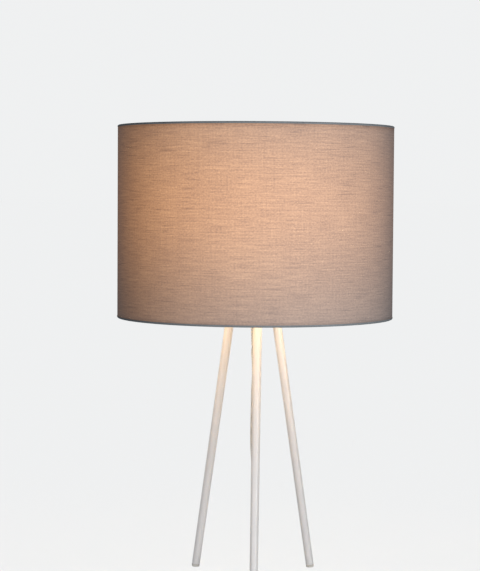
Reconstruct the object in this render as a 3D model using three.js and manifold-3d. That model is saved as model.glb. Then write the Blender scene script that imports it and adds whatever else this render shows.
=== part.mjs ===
// Tripod table lamp with a drum shade, standing on a flat surface at z = 0.
// Millimetres, +Z up. The origin is on the surface, on the lamp's axis.
// The front leg's foot is towards -Y.
import * as THREE from "three";
import { mergeVertices } from "three/addons/utils/BufferGeometryUtils.js";
import Module from "manifold-3d";

const wasm = await Module();
wasm.setup();

// ---------------------------------------------------------------- driving dimensions
const LAMP_HEIGHT = 491;
const SHADE_RADIUS = 150;
const SHADE_HEIGHT = 208.5;
const FOOT_CIRCLE = 74.2; // radius on which the leg axes meet the surface
const HUB_CIRCLE = 28.9; // radius of the leg axes where they meet the hub
const HUB_SKEW = 2.9; // how far the hub end of each leg stands to the side of its foot's radius
const LEG_TOP = 282.1; // height of the leg axes at the hub
const LEG_DIAMETER_TOP = 9.6;
const LEG_DIAMETER_FOOT = 8.6;
const CORD_DIAMETER = 5.5;
const BULB_CAP_DIAMETER = 25.6; // without its thread's crests
const GAP = 0.3; // between pieces that touch
const PAST = 1; // how far a cutting tool runs past the face it cuts

const LEG_AZIMUTHS = { front: -90, right: 30, left: 150 }; // degrees
const ROUND = 16; // sides of a small round piece
const SMALL_ROUND = 12; // and of a smaller one
const MIDDLE_ROUND = 24; // and of the holder's, the bulb's and the coil's pieces
const WIDE_ROUND = 40; // and of the shade's
const FULL_TURN = 2 * Math.PI;

// ---------------------------------------------------------------- materials
const finish = (color, roughness, metalness = 0) =>
  new THREE.MeshStandardMaterial({ color, roughness, metalness });
const shadeFabric = finish(0x7d7f82, 0.95);
const shadeFilm = finish(0xf2efe8, 0.6);
const whitePaint = finish(0xe9e8e6, 0.42);
const whitePlastic = finish(0xf0efec, 0.4);
const clearRubber = finish(0xb9b8b4, 0.5);
const zinc = finish(0xb8bbc0, 0.35, 1);
const brass = finish(0xc9a55a, 0.3, 1);
const ceramic = finish(0xe6e2da, 0.5);
const blackGlass = finish(0x141414, 0.2);
const opal = finish(0xfff1d8, 0.5);
const clearCord = finish(0xc9b79c, 0.3);
const tieStrip = finish(0xf4f4f2, 0.6);
const nickel = finish(0xcfccc4, 0.2, 1);

// ---------------------------------------------------------------- geometry helpers
const lamp = new THREE.Group();

function addPiece(name, geometry, material, parent = lamp) {
  const mesh = new THREE.Mesh(geometry, material);
  mesh.name = name;
  parent.add(mesh);
  return mesh;
}

// Turns the faces round if they point inwards.
function facingOut(geometry) {
  const g = geometry.index ? geometry.toNonIndexed() : geometry;
  const p = g.getAttribute("position");
  const [a, b, c] = [new THREE.Vector3(), new THREE.Vector3(), new THREE.Vector3()];
  let volume = 0;
  for (let i = 0; i < p.count; i += 3) {
    a.fromBufferAttribute(p, i);
    b.fromBufferAttribute(p, i + 1);
    c.fromBufferAttribute(p, i + 2);
    volume += a.dot(b.cross(c)) / 6;
  }
  if (volume >= 0) return g;
  for (let i = 0; i < p.count; i += 3) {
    b.fromBufferAttribute(p, i + 1);
    c.fromBufferAttribute(p, i + 2);
    p.setXYZ(i + 1, c.x, c.y, c.z);
    p.setXYZ(i + 2, b.x, b.y, b.z);
  }
  g.computeVertexNormals();
  return g;
}

// A turned solid about +Z from a closed outline of [radius, height] points.
function turned(outline, sides = ROUND) {
  const points = outline.map(([r, z]) => new THREE.Vector2(r, z));
  const [first, last] = [outline[0], outline.at(-1)];
  if (first[0] > 0 || last[0] > 0) points.push(points[0].clone());
  return facingOut(new THREE.LatheGeometry(points, sides).rotateX(Math.PI / 2));
}

const ringOutline = (inner, outer, low, high) => [
  [inner, low],
  [outer, low],
  [outer, high],
  [inner, high],
];
const ring = (inner, outer, low, high, sides) =>
  turned(ringOutline(inner, outer, low, high), sides);
const disc = (radius, low, high, sides) =>
  turned([[0, low], [radius, low], [radius, high], [0, high]], sides);

// A round wire bent into a ring, or a round section for any turned piece.
function wireRing(radius, height, wire, sides, wireSides = 6) {
  const outline = [];
  for (let i = 0; i < wireSides; i++) {
    const turn = (i / wireSides) * FULL_TURN;
    outline.push([radius + wire * Math.cos(turn), height + wire * Math.sin(turn)]);
  }
  return turned(outline, sides);
}

// A straight-sided block between two corners.
function block(low, high) {
  const size = high.map((v, i) => v - low[i]);
  return new THREE.BoxGeometry(...size).translate(
    ...low.map((v, i) => v + size[i] / 2),
  );
}

// A flat shape in XY pulled up from one height to another.
function plate(shape, low, high, curveSegments = 8) {
  const options = { depth: high - low, bevelEnabled: false, curveSegments };
  return new THREE.ExtrudeGeometry(shape, options).translate(0, 0, low);
}

function roundedRectangle(length, width, corner) {
  const [x, y] = [length / 2, width / 2];
  return new THREE.Shape()
    .moveTo(-x + corner, -y)
    .lineTo(x - corner, -y)
    .absarc(x - corner, -y + corner, corner, -Math.PI / 2, 0)
    .lineTo(x, y - corner)
    .absarc(x - corner, y - corner, corner, 0, Math.PI / 2)
    .lineTo(-x + corner, y)
    .absarc(-x + corner, y - corner, corner, Math.PI / 2, Math.PI)
    .lineTo(-x, -y + corner)
    .absarc(-x + corner, -y + corner, corner, Math.PI, 1.5 * Math.PI);
}

function hexagon(acrossFlats) {
  const corner = acrossFlats / Math.sqrt(3);
  const points = [];
  for (let i = 0; i < 6; i++) {
    const turn = (i / 6) * FULL_TURN;
    points.push(new THREE.Vector2(corner * Math.cos(turn), corner * Math.sin(turn)));
  }
  return new THREE.Shape(points);
}

// A tube of round section along a smooth curve through the points.
function tubeAlong(points, diameter, steps, sides = 8) {
  const curve = new THREE.CatmullRomCurve3(
    points.map((p) => new THREE.Vector3(...p)),
    false,
    "centripetal",
  );
  const section = [];
  for (let i = 0; i < sides; i++) {
    const turn = (i / sides) * FULL_TURN;
    const [x, y] = [Math.cos(turn), Math.sin(turn)];
    section.push(new THREE.Vector2((x * diameter) / 2, (y * diameter) / 2));
  }
  const options = { steps, extrudePath: curve };
  return facingOut(new THREE.ExtrudeGeometry(new THREE.Shape(section), options));
}

// ---------------------------------------------------------------- booleans
function solid(geometry) {
  const bare = geometry.index ? geometry.toNonIndexed() : geometry.clone();
  bare.deleteAttribute("normal");
  bare.deleteAttribute("uv");
  const merged = mergeVertices(bare, 1e-4);
  const index = merged.index.array;
  const faces = [];
  for (let i = 0; i < index.length; i += 3) {
    const [a, b, c] = index.slice(i, i + 3);
    if (a !== b && b !== c && a !== c) faces.push(a, b, c);
  }
  const mesh = new wasm.Mesh({
    numProp: 3,
    vertProperties: merged.attributes.position.array,
    triVerts: new Uint32Array(faces),
  });
  return new wasm.Manifold(mesh);
}

function geometryOf(made) {
  const mesh = made.getMesh();
  const geometry = new THREE.BufferGeometry();
  const positions = new THREE.BufferAttribute(mesh.vertProperties, mesh.numProp);
  geometry.setAttribute("position", positions);
  geometry.setIndex(new THREE.BufferAttribute(mesh.triVerts, 1));
  const flat = geometry.toNonIndexed();
  flat.computeVertexNormals();
  return flat;
}

const joined = (...parts) =>
  geometryOf(parts.map(solid).reduce((sum, next) => sum.add(next)));
const cut = (body, ...tools) =>
  geometryOf(tools.map(solid).reduce((left, tool) => left.subtract(tool), solid(body)));
const common = (a, b) => geometryOf(solid(a).intersect(solid(b)));

// ---------------------------------------------------------------- shade
const SHADE_BOTTOM = LAMP_HEIGHT - SHADE_HEIGHT;
const HEM_SKIN = 0.5; // thickness of the turned-over edge fabric
const HEM_LIP = 3; // height of the edge fabric outside
const HEM_INSIDE = 3.5; // and inside
const HEM_CORNER = 0.5; // where it turns over the end of the wall
const SKIN = 0.6; // thickness of the fabric, and of the film behind it
const HEM_OUTER = SHADE_RADIUS + 0.2;
const FABRIC_OUTER = HEM_OUTER - HEM_SKIN - GAP;
const FILM_OUTER = FABRIC_OUTER - SKIN - GAP;
const RING_WIRE = 1.5; // radius of the ring wire
const RING_RADIUS = FILM_OUTER - SKIN - GAP - RING_WIRE;
const HEM_INNER = RING_RADIUS - RING_WIRE - GAP - HEM_SKIN;
const EDGE_INSET = HEM_SKIN + GAP + 0.2; // of the cloth's and film's edges from the shade's ends
const RING_INSET = 2.6; // of the ring wires' centres from the shade's ends

// The turned-over edge, as an outline around the end of the wall; up is 1 at the top end.
function hem(end, up) {
  const z = (inset) => end - up * inset;
  return turned(
    [
      [HEM_OUTER, z(HEM_LIP)],
      [HEM_OUTER, z(HEM_CORNER)],
      [HEM_OUTER - HEM_CORNER, z(0)],
      [HEM_INNER + HEM_CORNER, z(0)],
      [HEM_INNER, z(HEM_CORNER)],
      [HEM_INNER, z(HEM_INSIDE)],
      [HEM_INNER + HEM_SKIN, z(HEM_INSIDE)],
      [HEM_INNER + HEM_SKIN, z(HEM_SKIN)],
      [HEM_OUTER - HEM_SKIN, z(HEM_SKIN)],
      [HEM_OUTER - HEM_SKIN, z(HEM_LIP)],
    ],
    WIDE_ROUND,
  );
}

// Three wire arms and the flat ring that the holder's nut clamps.
const CARRIER_HEIGHT = 317.3; // underside of the flat ring
const CARRIER_RING_INNER = 20.6;
const CARRIER_RING_OUTER = 29;
const CARRIER_THICKNESS = 2;
const ARM_WIRE = 1.6; // radius of the arm wire
const ARM_AZIMUTHS = [90, 210, 330];

function carrier() {
  const top = CARRIER_HEIGHT + CARRIER_THICKNESS;
  const flatRing = ring(CARRIER_RING_INNER, CARRIER_RING_OUTER, CARRIER_HEIGHT, top);
  const overRing = SHADE_BOTTOM + RING_INSET + RING_WIRE + GAP + ARM_WIRE;
  const path = [
    [CARRIER_RING_OUTER - 1.6, 0, CARRIER_HEIGHT + 1],
    [CARRIER_RING_OUTER + 6, 0, CARRIER_HEIGHT - 0.5],
    [RING_RADIUS - 28, 0, overRing + 5],
    [RING_RADIUS - 12, 0, overRing + 0.6],
    [RING_RADIUS + 1, 0, overRing],
  ];
  const arms = ARM_AZIMUTHS.map((azimuth) =>
    tubeAlong(path, 2 * ARM_WIRE, 10, 6).rotateZ(THREE.MathUtils.degToRad(azimuth)),
  );
  return joined(flatRing, ...arms);
}

function addShade() {
  const low = SHADE_BOTTOM + EDGE_INSET;
  const high = LAMP_HEIGHT - EDGE_INSET;
  const wall = (outer) => ring(outer - SKIN, outer, low, high, WIDE_ROUND);
  addPiece("shade_fabric", wall(FABRIC_OUTER), shadeFabric);
  addPiece("shade_liner", wall(FILM_OUTER), shadeFilm);
  addPiece("shade_top_hem", hem(LAMP_HEIGHT, 1), shadeFabric);
  addPiece("shade_bottom_hem", hem(SHADE_BOTTOM, -1), shadeFabric);
  for (const [name, height] of [
    ["shade_top_ring", LAMP_HEIGHT - RING_INSET],
    ["shade_bottom_ring", SHADE_BOTTOM + RING_INSET],
  ])
    addPiece(name, wireRing(RING_RADIUS, height, RING_WIRE, WIDE_ROUND), whitePaint);
  addPiece("shade_carrier", carrier(), whitePaint);
}

// ---------------------------------------------------------------- legs and hub
const PLATE = 3; // thickness of the hub plate
const BEND_RADIUS = 16; // where the plate's pads bend down towards the legs
const HUB_DISC = 20;
const PAD_RADIUS = 8;
const SCREW = 2; // radius of the M4 leg screws
const SCREW_LENGTH = 14; // of the part below the hub
const SCREW_HEAD = { radius: 4, crown: 2.6, edge: 1.8, height: 3 };
const INSERT_LENGTH = 18; // of the threaded plugs in the tops of the legs
const WASHER = 1; // thickness of the washers
const LEG_WASHER_RADIUS = 5;
const NIPPLE_WASHER_RADIUS = 9;
const HUB_HOLE = 5.3; // radius of the hole for the M10 nipple

// A leg's frame: local +Z runs up the leg from the surface, local +X leans outwards.
function legFrame(azimuth) {
  const turn = THREE.MathUtils.degToRad(azimuth);
  const outward = new THREE.Vector3(Math.cos(turn), Math.sin(turn), 0);
  const sideways = new THREE.Vector3(-Math.sin(turn), Math.cos(turn), 0);
  const foot = outward.clone().multiplyScalar(FOOT_CIRCLE);
  const top = outward
    .clone()
    .multiplyScalar(HUB_CIRCLE)
    .addScaledVector(sideways, HUB_SKEW)
    .setZ(LEG_TOP);
  const up = top.clone().sub(foot);
  const length = up.length();
  up.normalize();
  const x = outward.addScaledVector(up, -outward.dot(up)).normalize();
  const y = up.clone().cross(x);
  const matrix = new THREE.Matrix4().makeBasis(x, y, up).setPosition(foot);
  return { matrix, length };
}

const legFrames = Object.fromEntries(
  Object.entries(LEG_AZIMUTHS).map(([side, azimuth]) => [side, legFrame(azimuth)]),
);
const LEG_LENGTH = legFrames.front.length;
const LEAN = (FOOT_CIRCLE - HUB_CIRCLE) / LEG_TOP;
const HUB_BOTTOM = LEG_TOP + GAP - (HUB_CIRCLE - BEND_RADIUS) * LEAN;

function hubPad() {
  const inner = -(HUB_CIRCLE - BEND_RADIUS);
  const shape = new THREE.Shape()
    .moveTo(inner, -PAD_RADIUS)
    .lineTo(0, -PAD_RADIUS)
    .absarc(0, 0, PAD_RADIUS, -Math.PI / 2, Math.PI / 2)
    .lineTo(inner, PAD_RADIUS);
  return plate(shape, LEG_LENGTH + GAP, LEG_LENGTH + GAP + PLATE);
}

function hub() {
  const frames = Object.values(legFrames);
  const pads = frames.map(({ matrix }) => hubPad().applyMatrix4(matrix));
  const [legHigh, discHigh] = [LEG_LENGTH + GAP + PLATE, HUB_BOTTOM + PLATE];
  const holes = frames.map(({ matrix }) =>
    disc(SCREW + GAP, LEG_LENGTH - PAST, legHigh + PAST).applyMatrix4(matrix),
  );
  const centre = disc(HUB_DISC, HUB_BOTTOM, discHigh, MIDDLE_ROUND);
  const nippleHole = disc(HUB_HOLE, HUB_BOTTOM - PAST, discHigh + PAST);
  return cut(joined(centre, ...pads), nippleHole, ...holes);
}

const FOOT_HEAD = 3; // thickness of the foot's head, along the leg
const FOOT_STEM = 10; // and the length of the stem above it
const TUBE_WALL = 1;

function legTube() {
  const [top, bottom] = [LEG_DIAMETER_TOP / 2, LEG_DIAMETER_FOOT / 2];
  const low = FOOT_HEAD + GAP;
  return turned([
    [bottom - TUBE_WALL, low],
    [bottom, low],
    [top, LEG_LENGTH],
    [top - TUBE_WALL, LEG_LENGTH],
  ]);
}

// A soft plug in the tube's end, with a head cut flat where it stands on the surface.
function foot(matrix) {
  const head = LEG_DIAMETER_FOOT / 2;
  const stem = head - TUBE_WALL - GAP;
  const whole = turned([
    [0, -0.6],
    [head - 1.2, -0.6],
    [head - 0.35, 0.1],
    [head, 1.1],
    [head, FOOT_HEAD],
    [stem, FOOT_HEAD],
    [stem, FOOT_HEAD + FOOT_STEM],
    [0, FOOT_HEAD + FOOT_STEM],
  ]).applyMatrix4(matrix);
  const reach = FOOT_CIRCLE + LEG_DIAMETER_FOOT;
  const above = block([-reach, -reach, 0], [reach, reach, FOOT_HEAD + 2 * FOOT_STEM]);
  return common(whole, above);
}

function legScrew() {
  const end = LEG_LENGTH - SCREW_LENGTH;
  const under = LEG_LENGTH + PLATE + WASHER + 3 * GAP; // the head's underside
  return turned([
    [0, end],
    [SCREW, end],
    [SCREW, under],
    [SCREW_HEAD.radius, under],
    [SCREW_HEAD.radius, under + SCREW_HEAD.edge],
    [SCREW_HEAD.crown, under + SCREW_HEAD.height],
    [0, under + SCREW_HEAD.height],
  ]);
}

function addLegs() {
  addPiece("leg_hub", hub(), whitePaint);
  const insertRadius = LEG_DIAMETER_TOP / 2 - TUBE_WALL - GAP;
  const insertLow = LEG_LENGTH - INSERT_LENGTH;
  const seat = LEG_LENGTH + PLATE + 2 * GAP;
  for (const [side, { matrix }] of Object.entries(legFrames)) {
    const frame = new THREE.Group();
    frame.applyMatrix4(matrix);
    lamp.add(frame);
    const insert = turned([
      [SCREW + GAP, insertLow],
      [insertRadius - 0.1, insertLow],
      [insertRadius, LEG_LENGTH],
      [SCREW + GAP, LEG_LENGTH],
    ]);
    const washer = ring(SCREW + GAP, LEG_WASHER_RADIUS, seat, seat + WASHER);
    addPiece(`${side}_leg`, legTube(), whitePaint, frame);
    addPiece(`${side}_leg_insert`, insert, zinc, frame);
    addPiece(`${side}_leg_washer`, washer, zinc, frame);
    addPiece(`${side}_leg_screw`, legScrew(), zinc, frame);
    addPiece(`${side}_foot`, foot(matrix), clearRubber);
  }
}

// ---------------------------------------------------------------- lamp holder
const HUB_TOP = HUB_BOTTOM + PLATE;
const NIPPLE_RADIUS = 5;
const NIPPLE_BORE = 4.1;
const NIPPLE_IN_CUP = 6; // how far the nipple stands into the cup
const NUT_HEIGHT = 4;
const NUT_FLATS = 15; // across the flats
const NUT_BOTTOM = HUB_BOTTOM - GAP - NUT_HEIGHT;
const CUP_BOTTOM = HUB_TOP + WASHER + 2 * GAP;
const CUP_TOP = 313.7;
const CUP_RADIUS = 20;
const CUP_WALL = 2;
const CUP_FLOOR = 2.5;
const SHELL_BOTTOM = CUP_TOP + GAP;
const SHELL_TOP = 346;
const SHELL_RADIUS = 19.8;
const SHELL_BORE = 14.3;
const SHELL_FLANGE = 23; // radius of the flange that the shade's ring rests on
const FLANGE_TOP = CARRIER_HEIGHT - GAP;
const BLOCK_RADIUS = 17.7;
const BLOCK_BOTTOM = 298;
const RING_NUT_BOTTOM = CARRIER_HEIGHT + CARRIER_THICKNESS + GAP;
const BULB_TIP = 320;

function holderCup() {
  return turned(
    [
      [HUB_HOLE, CUP_BOTTOM],
      [CUP_RADIUS - 4, CUP_BOTTOM],
      [CUP_RADIUS - 1.2, CUP_BOTTOM + 1.2],
      [CUP_RADIUS, CUP_BOTTOM + 4],
      [CUP_RADIUS, CUP_TOP],
      [CUP_RADIUS - CUP_WALL, CUP_TOP],
      [CUP_RADIUS - CUP_WALL, CUP_BOTTOM + 5],
      [CUP_RADIUS - CUP_WALL - 3, CUP_BOTTOM + CUP_FLOOR],
      [HUB_HOLE, CUP_BOTTOM + CUP_FLOOR],
    ],
    MIDDLE_ROUND,
  );
}

function holderShell() {
  return turned(
    [
      [SHELL_BORE, SHELL_BOTTOM],
      [SHELL_FLANGE, SHELL_BOTTOM],
      [SHELL_FLANGE, FLANGE_TOP],
      [SHELL_RADIUS, FLANGE_TOP],
      [SHELL_RADIUS, SHELL_TOP - 1],
      [SHELL_RADIUS - 1, SHELL_TOP],
      [SHELL_BORE + 0.5, SHELL_TOP],
      [SHELL_BORE, SHELL_TOP - 0.5],
    ],
    MIDDLE_ROUND,
  );
}

const BLOCK_TOP = CUP_TOP - 0.2;
// The terminal screws: how far they stand from the axis, and their own sizes.
const TERMINAL = { offset: 9, shank: 1.5, length: 7, headRadius: 2.8, headHeight: 2 };

function contactBlock() {
  const body = disc(BLOCK_RADIUS, BLOCK_BOTTOM, BLOCK_TOP, MIDDLE_ROUND);
  const [low, high] = [BLOCK_BOTTOM - PAST, BLOCK_BOTTOM + TERMINAL.length + PAST];
  const holes = [-1, 1].map((side) =>
    disc(TERMINAL.shank + GAP, low, high, SMALL_ROUND).translate(side * TERMINAL.offset, 0, 0),
  );
  return cut(body, ...holes);
}

function terminalScrew(side) {
  const head = BLOCK_BOTTOM - GAP;
  return turned(
    [
      [0, head - TERMINAL.headHeight],
      [TERMINAL.headRadius, head - TERMINAL.headHeight],
      [TERMINAL.headRadius, head],
      [TERMINAL.shank, head],
      [TERMINAL.shank, head + TERMINAL.length],
      [0, head + TERMINAL.length],
    ],
    SMALL_ROUND,
  ).translate(side * TERMINAL.offset, 0, 0);
}

// A strip folded in the XZ plane, with its width along Y about the plane.
function foldedStrip(shape, width) {
  return new THREE.ExtrudeGeometry(shape, { depth: width, bevelEnabled: false })
    .rotateX(Math.PI / 2)
    .translate(0, width / 2, 0);
}

// Sprung tongues: a bridge under the bulb's tip, and a blade beside its cap.
function centreContact() {
  const foot = BLOCK_TOP + GAP;
  const shape = new THREE.Shape()
    .moveTo(-8, foot)
    .lineTo(-4.6, foot)
    .lineTo(-2.2, BULB_TIP - 1.5)
    .lineTo(4, BULB_TIP - 1.1)
    .lineTo(4, BULB_TIP - 0.4)
    .lineTo(-2.8, BULB_TIP - 0.6)
    .lineTo(-5.2, foot + 0.8)
    .lineTo(-8, foot + 0.8);
  return foldedStrip(shape, 5);
}

function sideContact() {
  const foot = BLOCK_TOP + GAP;
  const near = BULB_CAP_DIAMETER / 2 + GAP;
  const shape = new THREE.Shape()
    .moveTo(8, foot)
    .lineTo(near + 0.7, foot)
    .lineTo(near + 0.7, foot + 16)
    .lineTo(near, foot + 16)
    .lineTo(near, foot + 0.7)
    .lineTo(8, foot + 0.7);
  return foldedStrip(shape, 6);
}

// The soft sleeve through which the cord leaves the nipple, with a collar under the nut.
const SLEEVE_END = 252;
const SLEEVE_COLLAR = { radius: 7.5, height: 3 };
const SLEEVE_IN_NIPPLE = 10;

function cordSleeve() {
  const bore = CORD_DIAMETER / 2 + GAP;
  const inner = NIPPLE_BORE - GAP - 0.1;
  const top = NUT_BOTTOM - GAP;
  const under = top - SLEEVE_COLLAR.height;
  return turned([
    [bore, SLEEVE_END],
    [3.3, SLEEVE_END],
    [3.5, SLEEVE_END + 1],
    [3.6, SLEEVE_END + 16],
    [4.4, under],
    [SLEEVE_COLLAR.radius, under],
    [SLEEVE_COLLAR.radius, top],
    [inner, top],
    [inner, top + SLEEVE_IN_NIPPLE],
    [bore, top + SLEEVE_IN_NIPPLE],
  ]);
}

// The shade's nut: radii, height, and the number and radius of its finger notches.
const RING_NUT = { inner: 20.4, outer: 25.5, height: 8, notches: 12, notch: 1.6 };

function ringNut() {
  const { inner, outer, height, notches, notch } = RING_NUT;
  const [low, high] = [RING_NUT_BOTTOM, RING_NUT_BOTTOM + height];
  const tools = [];
  for (let i = 0; i < notches; i++)
    tools.push(
      disc(notch, low - PAST, high + PAST, 8)
        .translate(outer + notch / 2, 0, 0)
        .rotateZ(((i + 0.5) / notches) * FULL_TURN),
    );
  return cut(ring(inner, outer, low, high, MIDDLE_ROUND), ...tools);
}

function nippleNut() {
  const top = NUT_BOTTOM + NUT_HEIGHT;
  const bore = disc(HUB_HOLE, NUT_BOTTOM - PAST, top + PAST);
  return cut(plate(hexagon(NUT_FLATS), NUT_BOTTOM, top), bore);
}

function addHolder() {
  const nipple = ring(NIPPLE_BORE, NIPPLE_RADIUS, NUT_BOTTOM, CUP_BOTTOM + NIPPLE_IN_CUP);
  const seat = HUB_TOP + GAP;
  const washer = ring(HUB_HOLE, NIPPLE_WASHER_RADIUS, seat, seat + WASHER);
  addPiece("nipple_nut", nippleNut(), zinc);
  addPiece("nipple", nipple, zinc);
  addPiece("nipple_washer", washer, zinc);
  addPiece("cord_sleeve", cordSleeve(), clearRubber);
  addPiece("holder_cup", holderCup(), whitePlastic);
  addPiece("holder_shell", holderShell(), whitePlastic);
  addPiece("holder_contact_block", contactBlock(), ceramic);
  addPiece("holder_centre_contact", centreContact(), brass);
  addPiece("holder_side_contact", sideContact(), brass);
  addPiece("holder_terminal_screw_live", terminalScrew(-1), brass);
  addPiece("holder_terminal_screw_neutral", terminalScrew(1), brass);
  addPiece("shade_ring_nut", ringNut(), whitePlastic);
}

// ---------------------------------------------------------------- bulb
const GLOBE_RADIUS = 30;
const GLOBE_WALL = 1;
const GLOBE_CENTRE = BULB_TIP + 78;
const GLOBE_MOUTH = GLOBE_CENTRE - 13;
const GLOBE_ROWS = 6; // of faces from the mouth to the crown
const TIP_TOP = BULB_TIP + 1.5;
const INSULATOR_TOP = BULB_TIP + 6;
const CAP_TOP = SHELL_TOP + 0.8;
const BOARD = { radius: 24, bottom: GLOBE_MOUTH - 2, top: GLOBE_MOUTH - 0.6 };

// Points round the globe's centre from one angle above the horizontal to another.
function globeArc(radius, from, to) {
  const points = [];
  for (let i = 0; i <= GLOBE_ROWS; i++) {
    const turn = from + ((to - from) * i) / GLOBE_ROWS;
    points.push([radius * Math.cos(turn), GLOBE_CENTRE + radius * Math.sin(turn)]);
  }
  return points;
}

function globe() {
  const start = Math.asin((GLOBE_MOUTH - GLOBE_CENTRE) / GLOBE_RADIUS);
  const outside = globeArc(GLOBE_RADIUS, start, Math.PI / 2);
  const inside = globeArc(GLOBE_RADIUS - GLOBE_WALL, Math.PI / 2, start);
  outside.at(-1)[0] = 0;
  inside[0][0] = 0;
  const outline = [...inside, ...outside, inside[0]];
  const points = outline.map(([r, z]) => new THREE.Vector2(r, z));
  return facingOut(new THREE.LatheGeometry(points, MIDDLE_ROUND).rotateX(Math.PI / 2));
}

function bulbHousing() {
  const mouth = Math.sqrt(GLOBE_RADIUS ** 2 - (GLOBE_CENTRE - GLOBE_MOUTH) ** 2);
  const low = CAP_TOP + GAP;
  const high = GLOBE_MOUTH - GAP;
  return turned([
    [0, low],
    [13.4, low],
    [14.2, low + 3],
    [16.5, low + 12],
    [22, low + 26],
    [mouth, high],
    [mouth - 2, high],
    [mouth - 2, high - 2],
    [0, high - 2],
  ]);
}

// A shallow cone frustum between two heights, wider at the top.
const frustum = (low, lowRadius, high, highRadius) =>
  turned([[0, low], [lowRadius, low], [highRadius, high], [0, high]]);

function addBulb() {
  const tip = frustum(BULB_TIP, 2.5, TIP_TOP, 4.5);
  const insulator = frustum(TIP_TOP + GAP, 5, INSULATOR_TOP, 11.5);
  const cap = disc(BULB_CAP_DIAMETER / 2, INSULATOR_TOP + GAP, CAP_TOP);
  addPiece("bulb_tip", tip, zinc);
  addPiece("bulb_insulator", insulator, blackGlass);
  addPiece("bulb_cap", cap, zinc);
  addPiece("bulb_housing", bulbHousing(), whitePlastic);
  addPiece("bulb_led_board", disc(BOARD.radius, BOARD.bottom, BOARD.top), ceramic);
  addPiece("bulb_globe", globe(), opal);
}

// ---------------------------------------------------------------- inline switch
const SWITCH = { x: 52, y: -118, length: 60, width: 26, height: 17 };
const SWITCH_CORNER = 8;
const SWITCH_SPLIT = SWITCH.height / 2;
const SWITCH_WALL = 1.8;
const SWITCH_END = 9; // thickness of the housing's ends
// The housing's screws: where they stand in from its end and side, and their own sizes.
const SWITCH_SCREW = { inset: 5, side: 6.5, head: 2.4, shank: 1.2, low: 0.8, seat: 2.2, top: 5 };
const ROCKER = { length: 14.4, width: 10, pivot: 12.4, margin: { x: 1.1, y: 0.4 } };
const ROCKER_TILT = THREE.MathUtils.degToRad(7);

// The bore for the cord through both ends of the housing, whose halves meet at its middle.
function cordBore(reach) {
  return disc(CORD_DIAMETER / 2 + GAP, -reach, reach)
    .rotateY(Math.PI / 2)
    .translate(0, 0, SWITCH_SPLIT);
}

function switchHalf(low, high, floor) {
  const outer = roundedRectangle(SWITCH.length, SWITCH.width, SWITCH_CORNER);
  const [x, y] = [SWITCH.length / 2 - SWITCH_END, SWITCH.width / 2 - SWITCH_WALL];
  const cavityLow = floor ? low + SWITCH_WALL : low - PAST;
  const cavityHigh = floor ? high + PAST : high - SWITCH_WALL;
  const cavity = block([-x, -y, cavityLow], [x, y, cavityHigh]);
  return cut(plate(outer, low, high), cavity, cordBore(SWITCH.length));
}

function switchCover() {
  const half = switchHalf(SWITCH_SPLIT + GAP / 2, SWITCH.height, false);
  const x = ROCKER.length / 2 + ROCKER.margin.x;
  const y = ROCKER.width / 2 + ROCKER.margin.y;
  return cut(half, block([-x, -y, SWITCH_SPLIT], [x, y, SWITCH.height + PAST]));
}

// Moves a piece from the switch's middle to one of its two screws.
function atScrew(geometry, side) {
  const x = side * (SWITCH.length / 2 - SWITCH_SCREW.inset);
  return geometry.translate(x, SWITCH_SCREW.side - SWITCH.width / 2, 0);
}

function switchBase() {
  const { head, shank, seat, top } = SWITCH_SCREW;
  const holes = [-1, 1].flatMap((side) => [
    atScrew(disc(head + GAP, -PAST, seat + GAP, SMALL_ROUND), side),
    atScrew(disc(shank + GAP, 0, top + PAST, SMALL_ROUND), side),
  ]);
  return cut(switchHalf(0, SWITCH_SPLIT - GAP / 2, true), ...holes);
}

// A see-saw button, dished on top so that its pressed half lies level with the cover.
function switchRocker() {
  const x = ROCKER.length / 2;
  const middle = SWITCH.height - ROCKER.pivot + 0.2;
  const end = middle + x * Math.tan(ROCKER_TILT);
  const shape = new THREE.Shape()
    .moveTo(-x, -1)
    .lineTo(x, -1)
    .lineTo(x, end)
    .lineTo(0, middle)
    .lineTo(-x, end)
    .lineTo(-x, -1);
  return rockerPiece(shape, ROCKER.width);
}

// The brass strip under the rocker, which bridges the terminals when the +X half is pressed.
function switchBridge() {
  const top = -1 - GAP;
  const shape = new THREE.Shape()
    .moveTo(-6.2, top)
    .lineTo(-6.2, top - 0.8)
    .lineTo(5.2, top - 0.8)
    .lineTo(5.2, top - 4.2)
    .lineTo(6, top - 4.2)
    .lineTo(6, top);
  return rockerPiece(shape, 5);
}

// A profile across the rocker's pivot, tipped to where it rests with its +X half pressed.
function rockerPiece(shape, width) {
  return foldedStrip(shape, width).rotateY(ROCKER_TILT).translate(0, 0, ROCKER.pivot);
}

function switchScrew(side) {
  const { head, shank, low, seat, top } = SWITCH_SCREW;
  const outline = [[0, low], [head, low], [head, seat], [shank, seat], [shank, top], [0, top]];
  return atScrew(turned(outline, SMALL_ROUND), side);
}

// A folded brass strip under one end of the rocker, with its clamp towards the cord.
function switchTerminal(side) {
  const low = SWITCH_WALL + 2 * GAP;
  const shape = new THREE.Shape()
    .moveTo(5.5, low)
    .lineTo(18, low)
    .lineTo(18, low + 3)
    .lineTo(17, low + 3)
    .lineTo(17, low + 0.8)
    .lineTo(6.3, low + 0.8)
    .lineTo(6.3, low + 2)
    .lineTo(5.5, low + 2);
  const strip = foldedStrip(shape, 5);
  return side > 0 ? strip : strip.rotateZ(Math.PI);
}

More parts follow.
